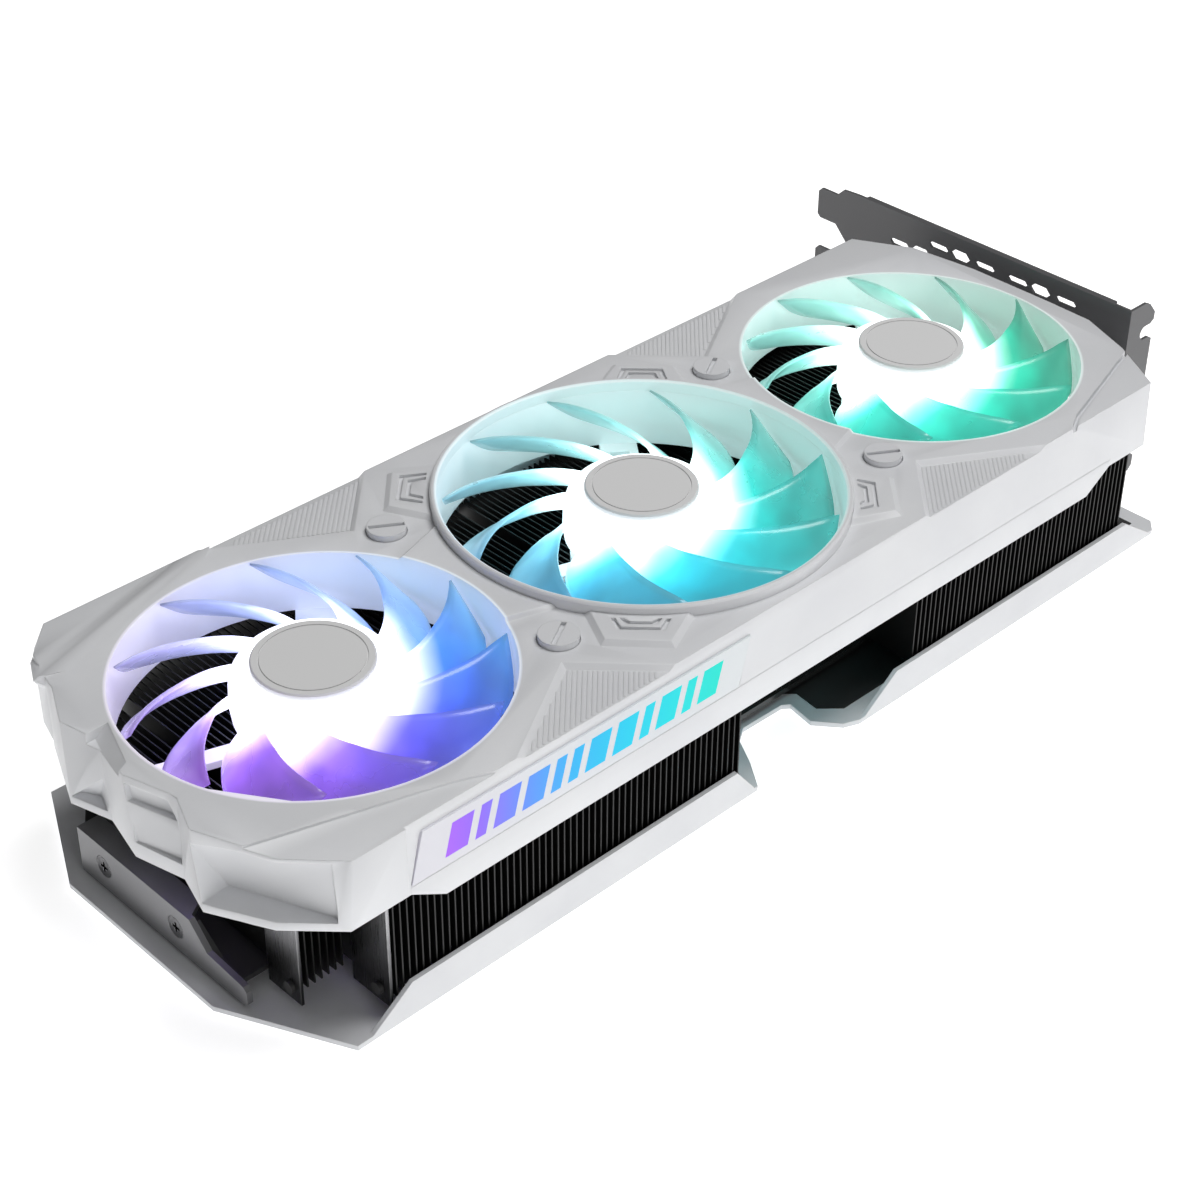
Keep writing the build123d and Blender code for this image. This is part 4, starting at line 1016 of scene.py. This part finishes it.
@dataclass
class Shell:
    """The white shroud, from the frame's own solid, with its faceted tail, its wing and its ribbed fields.

    Attributes:
        rounding: edge radius in millimetres.
        low: height of the tail's lower edge.
        top: height of the flat top.
        rib_field: corners of the ribbed part of one sunken field.
        rib_sink: how far the fields lie below the top.
    """

    rounding: float = 0.3
    low: float = 36.0
    top: float = 56.0
    rib_field: tuple[Flat, ...] = ((64.6, 40.6), (93.0, 56.9), (48.2, 56.9))
    rib_sink: float = 1.2

    def body_mesh(self, node: bpy.types.Object) -> bpy.types.Mesh:
        """The frame's shroud with its flat faces whole again.

        Args:
            node: the frame's shroud, which stays as it is.

        Returns:
            A new mesh.
        """
        mesh = node.data.copy()
        mesh.materials.clear()
        work = bmesh.new()
        work.from_mesh(mesh)
        bmesh.ops.remove_doubles(work, verts=work.verts, dist=0.00001)
        bmesh.ops.dissolve_limit(work, angle_limit=math.radians(1.0), verts=work.verts, edges=work.edges)
        work.to_mesh(mesh)
        work.free()
        return mesh

    def tail_blocks(self) -> list[bpy.types.Mesh]:
        """Three solid teeth of the tail and the wing over its far corner.

        Returns:
            Closed meshes of the far, middle and near tooth and of the wing.
        """
        low, top = self.low, self.top
        far = stacked([(top, [(-153.4, 42.2), (-162.3, 24.0), (-159.7, 12.2), (-155.0, 13.0),
                              (-145.0, 44.0)]),
                       (low, [(-156.0, 40.0), (-164.9, 19.6), (-161.6, 8.0), (-155.5, 9.0), (-146.0, 42.0)])])
        middle = stacked([(top, [(-159.7, 12.4), (-163.0, -1.1), (-159.2, -14.2), (-156.8, -14.0),
                                 (-156.8, 12.4)]),
                          (50.0, [(-164.0, -3.2), (-159.5, -17.8)]),
                          (40.0, [(-164.8, -5.4), (-161.4, -20.0)]),
                          (low, [(-161.6, 8.0), (-164.9, -5.8), (-161.5, -19.6), (-156.8, -19.0),
                                 (-156.8, 8.0)])])
        near = stacked([(top, [(-158.0, -13.6), (-163.3, -26.6), (-157.6, -38.8), (-155.1, -46.4),
                               (-144.3, -57.6),
                               (-143.4, -58.0), (-129.2, -58.0), (-129.2, -52.5), (-143.0, -38.0),
                               (-152.0, -24.0), (-155.3, -14.0)]),
                        (low, [(-161.5, -19.6), (-164.9, -30.9), (-157.0, -46.5), (-145.6, -58.0),
                               (-129.2, -58.0), (-129.2, -53.0), (-152.5, -24.0), (-156.0, -18.0)])])
        wing = stacked([(55.3, [(-157.8, 41.6), (-98.5, 58.3)]), (54.4, [(-153.8, 49.2), (-143.9, 58.4)]),
                        (56.5, [(-156.6, 41.0), (-106.0, 57.6), (-95.5, 57.2)]),
                        (55.9, [(-149.0, 38.5), (-100.0, 53.5)]),
                        (52.0, [(-155.8, 42.6), (-153.0, 48.2), (-143.9, 57.0), (-98.5, 57.0),
                                (-100.0, 53.5)]),
                        (48.5, [(-150.0, 44.0), (-146.0, 50.0), (-150.0, 38.0)])])
        return [hull(points) for points in (far, middle, near, wing)]

    def tail_hollows(self) -> list[bpy.types.Mesh]:
        """Scoops, chamfers and panel recesses cut into the teeth.

        Returns:
            Closed meshes to take away.
        """
        near_scoop = stacked([
            (38.2, [(-157.0, -29.8), (-152.6, -43.6), (-146.4, -54.6), (-166.0, -30.6), (-172.0, -34.0),
                    (-166.0, -54.0), (-152.0, -62.0), (-148.4, -57.0)]),
            (47.5, [(-147.8, -49.0)]),
            (54.3, [(-156.0, -36.0), (-153.4, -43.8), (-147.0, -54.6), (-165.0, -46.0), (-151.0, -62.0)]),
            (52.2, [(-163.2, -25.6), (-172.0, -28.0)])])
        far_scoop = stacked([
            (38.0, [(-162.4, 19.6), (-159.6, 15.0), (-162.0, 8.4), (-172.0, 19.6), (-172.0, 6.0)]),
            (40.0, [(-163.9, 16.6), (-161.5, 8.0), (-172.0, 16.6)]),
            (46.0, [(-160.6, 11.0), (-172.0, 11.0)])])
        claw = stacked([(60.0, [(-154.6, 16.2), (-159.9, 1.6), (-170.0, 14.0), (-170.0, -4.0)]),
                        (55.9, [(-154.6, 16.2), (-159.9, 1.6)]),
                        (53.4, [(-158.4, 16.0), (-163.6, 0.4), (-170.0, -2.0),
                                                                       (-170.0, 16.0)])])
        panel = stacked([(54.2, [(-161.9, -1.9), (-158.4, -13.6), (-170.0, -2.0), (-170.0, -14.0)]),
                         (50.2, [(-162.5, -3.6), (-158.3, -16.6), (-170.0, -4.0), (-170.0, -18.0)])])
        lower_panel = stacked([(49.4, [(-164.2, -4.4), (-160.0, -17.8), (-170.0, -4.6), (-170.0, -18.4)]),
                               (40.2, [(-164.0, -6.2), (-160.2, -19.2), (-170.0, -6.6), (-170.0, -20.0)])])
        return [hull(points) for points in (near_scoop, far_scoop, claw, panel, lower_panel)]

    def near_step(self) -> bpy.types.Mesh:
        """Shallow step that runs from the tail along the near side of the top.

        Returns:
            A closed mesh to take away.
        """
        outline = [(-168.0, -35.7), (-157.7, -38.9), (-112.0, -53.3), (-106.2, -57.0), (-98.8, -58.6),
                   (-98.8, -62.0), (-148.0, -62.0), (-168.0, -48.0)]
        return hull(stacked([(z, outline) for z in (self.top - 0.7, 60.0)]))

    def ribs(self, pitch: float = 1.7, half: float = 0.45) -> None:
        """Fine low ribs across the floors of the four sunken fields, all in one direction.

        Args:
            pitch: distance between ribs in millimetres.
            half: half the width of a rib.
        """
        floor_z = self.top - self.rib_sink
        parts = []
        for side_x in (-1, 1):
            for side_y in (-1, 1):
                field = [Vector((side_x * x, side_y * y)) for x, y in self.rib_field]
                for line in range(-120, 121):
                    # a rib runs along (1, 1), clipped by the field's three sides
                    ends = []
                    for a, b in zip(field, field[1:] + field[:1]):
                        low, high = (a.x - a.y) - line * pitch, (b.x - b.y) - line * pitch
                        if low * high < 0:
                            ends.append(a.lerp(b, low / (low - high)))
                    if len(ends) == 2 and (ends[0] - ends[1]).length > 2.0:
                        side = Vector((half, -half)) / math.sqrt(2)
                        outline = [ends[0] + side, ends[0] - side, ends[1] - side, ends[1] + side]
                        parts.append(prism([tuple(p) for p in outline], floor_z - 0.1, floor_z + 0.09,
                                           upright))
        points, faces = joined(parts)
        new_piece("field_ribs", mesh_of("field_ribs", points, faces), SHELL_WHITE, Body.CARD,
                  Slot.WHITE_PLASTIC)

    def light_insert(self) -> None:
        """Milky insert, flush in the window of the near wall."""
        corners = [(-128.25, 38.15), (-23.85, 38.15), (-20.2, 51.85), (-124.6, 51.85)]
        points, faces = prism(corners, -56.9, -57.98, sideways)
        insert = new_piece("light_insert", mesh_of("light_insert", points, faces), DIFFUSER, Body.CARD,
                           Slot.LIGHT_DIFFUSER)
        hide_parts("light_diffuser")

    def side_marks(self) -> None:
        """Row of plain slanted light bars in the near wall's insert, in place of lettering."""
        low, high, slant, gap = 40.6, 49.4, 0.27, 2.2
        parts = []
        x = -118.5
        for width in (6.6, 3.2, 6.6, 6.6, 3.2, 3.2, 6.6, 6.6, 3.2, 6.6, 3.2, 6.6):
            shift = slant * (high - low)
            corners = [(x, low), (x + width, low), (x + width + shift, high), (x + shift, high)]
            parts.append(prism(corners, -57.5, -57.995, sideways))
            x += width + gap
        points, faces = joined(parts)
        new_piece("side_light_bars", mesh_of("side_light_bars", points, faces), LIT_MARK, Body.CARD,
                  Slot.LIGHT_DIFFUSER)

    def build(self, frame: dict) -> None:
        """Makes the shroud's pieces.
        """
        outside = ([(-170.0, 36.0), (-170.0, -60.0), (-160.0, -60.0), (-160.0, 36.0)],
                   [(-170.0, 24.0), (-163.0, 24.0), (-155.2, 41.0), (-170.0, 41.0)],
                   [(-170.0, 40.9), (-155.24, 40.9), (-152.6, 49.6), (-170.0, 49.6)],
                   [(-170.0, 49.5), (-152.63, 49.5), (-145.0, 58.5), (-150.0, 66.0)])
        steps = [("DIFFERENCE", hull(stacked([(z, outline) for z in (30.0, 60.0)]))) for outline in outside]
        steps += [("UNION", mesh) for mesh in self.tail_blocks()]
        steps += [("DIFFERENCE", mesh) for mesh in [*self.tail_hollows(), self.near_step()]]
        mesh = carve(self.body_mesh(frame["nodes"]["shroud"]), steps)
        shroud = new_piece("shroud_shell", mesh, SHELL_WHITE, Body.CARD, Slot.WHITE_PLASTIC)
        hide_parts("shroud")
        soften(shroud, self.rounding)
        self.ribs()
        self.light_insert()
        self.side_marks()


@dataclass
class Studio:
    """Pale floor, soft lights and the camera.

    Attributes:
        eye: the camera's place in millimetres.
        azimuth: turn of the camera about Z in degrees, 0 looking along +Y.
        elevation: its height above the horizon in degrees.
        roll: its turn about its own axis in degrees.
        lens: focal length in millimetres.
        sensor: width of the sensor in millimetres.
        world_level: strength of the even light from all round.
        floor_half: half the floor's side in metres.
        floor_drop: how far the floor lies under the card in metres.
        floor_glow: the floor's own brightness.
    """

    eye: Point = (-375.76, -369.51, 397.46)
    azimuth: float = -44.338
    elevation: float = 35.441
    roll: float = 0.448
    lens: float = 72.63
    sensor: float = 36.0
    world_level: float = 0.12
    floor_half: float = 3.0
    floor_drop: float = 0.0006
    floor_glow: float = 0.74

    def camera(self) -> None:
        """Makes the camera."""
        data = bpy.data.cameras.new("camera")
        data.lens = self.lens
        data.sensor_width = self.sensor
        data.clip_start, data.clip_end = 0.01, 20.0
        camera = bpy.data.objects.new("camera", data)
        bpy.context.scene.collection.objects.link(camera)
        a, e, r = (math.radians(v) for v in (self.azimuth, self.elevation, self.roll))
        back = Vector((math.sin(a) * math.cos(e), -math.cos(a) * math.cos(e), math.sin(e)))
        level = Vector((math.cos(a), math.sin(a), 0.0))
        top = back.cross(level)
        right = level * math.cos(r) + top * math.sin(r)
        above = top * math.cos(r) - level * math.sin(r)
        turn = Matrix((right, above, back)).transposed().to_4x4()
        camera.matrix_world = Matrix.Translation(Vector(self.eye) * MM) @ turn
        bpy.context.scene.camera = camera

    def floor(self) -> None:
        """Makes the floor."""
        half, low = self.floor_half, -self.floor_drop
        corners = [(-half, -half, low), (half, -half, low), (half, half, low), (-half, half, low)]
        mesh = mesh_of("floor", corners, [(0, 1, 2, 3)], unit=1.0)
        floor = bpy.data.objects.new("floor", mesh)
        bpy.context.scene.collection.objects.link(floor)
        made = bpy.data.materials.new("floor")
        made.use_nodes = True
        shader = made.node_tree.nodes["Principled BSDF"]
        shader.inputs["Base Color"].default_value = (0.9, 0.9, 0.9, 1.0)
        shader.inputs["Roughness"].default_value = 0.9
        shader.inputs["Specular IOR Level"].default_value = 0.1
        shader.inputs["Emission Color"].default_value = (1.0, 1.0, 1.0, 1.0)
        shader.inputs["Emission Strength"].default_value = self.floor_glow
        mesh.materials.append(made)

    def light(self, name: str, place: Point, target: Point, size: float, power: float) -> None:
        """Adds one square soft light.

        Args:
            name: the light's name.
            place: its centre in metres.
            target: the point it faces.
            size: its side in metres.
            power: its power in watts.
        """
        data = bpy.data.lights.new(name, "AREA")
        data.size = size
        data.energy = power
        lamp = bpy.data.objects.new(name, data)
        bpy.context.scene.collection.objects.link(lamp)
        lamp.location = place
        lamp.rotation_mode = "QUATERNION"
        lamp.rotation_quaternion = (Vector(target) - Vector(place)).to_track_quat("-Z", "Y")

    def build(self) -> None:
        """Sets up the whole studio."""
        world = bpy.data.worlds.new("studio")
        bpy.context.scene.world = world
        world.use_nodes = True
        world.node_tree.nodes["Background"].inputs[0].default_value = (1.0, 1.0, 1.0, 1.0)
        world.node_tree.nodes["Background"].inputs[1].default_value = self.world_level
        bpy.context.scene.view_settings.view_transform = "Standard"
        self.floor()
        self.light("near_key", (-0.5, -1.75, 0.5), (-0.05, 0.0, 0.02), 0.9, 7.4)
        self.light("overhead", (0.6, -0.2, 1.7), (0.0, 0.0, 0.0), 1.0, 20.0)
        self.camera()


def dress_frame(frame: dict) -> None:
    """Gives every node of the frame its finish through its object's material slots.
    """
    for name, node in frame["nodes"].items():
        finish = FAN_NODE_FINISHES.get(name.rpartition("_")[0]) or NODE_FINISHES.get(name)
        if finish is None:
            continue
        if not node.material_slots:
            raise RuntimeError(f"{name} has no material slot")
        for place in node.material_slots:
            place.link = "OBJECT"
            place.material = finish.material()


def main() -> None:
    """Builds the card's looks round its frame."""
    logging.basicConfig(level=logging.INFO, format="%(message)s")
    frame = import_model()
    Studio().build()
    dress_frame(frame)
    Shell().build(frame)
    Rotor("tail", Body.FAN_TAIL, -108.0, 46.6, 56.9, 104.0).build()
    Rotor("middle", Body.FAN_MIDDLE, 0.0, 51.4, 57.6, 108.0).build()
    Rotor("bracket", Body.FAN_BRACKET, 108.0, 46.6, 56.9, 96.5).build()


if __name__ == "__main__":
    main()
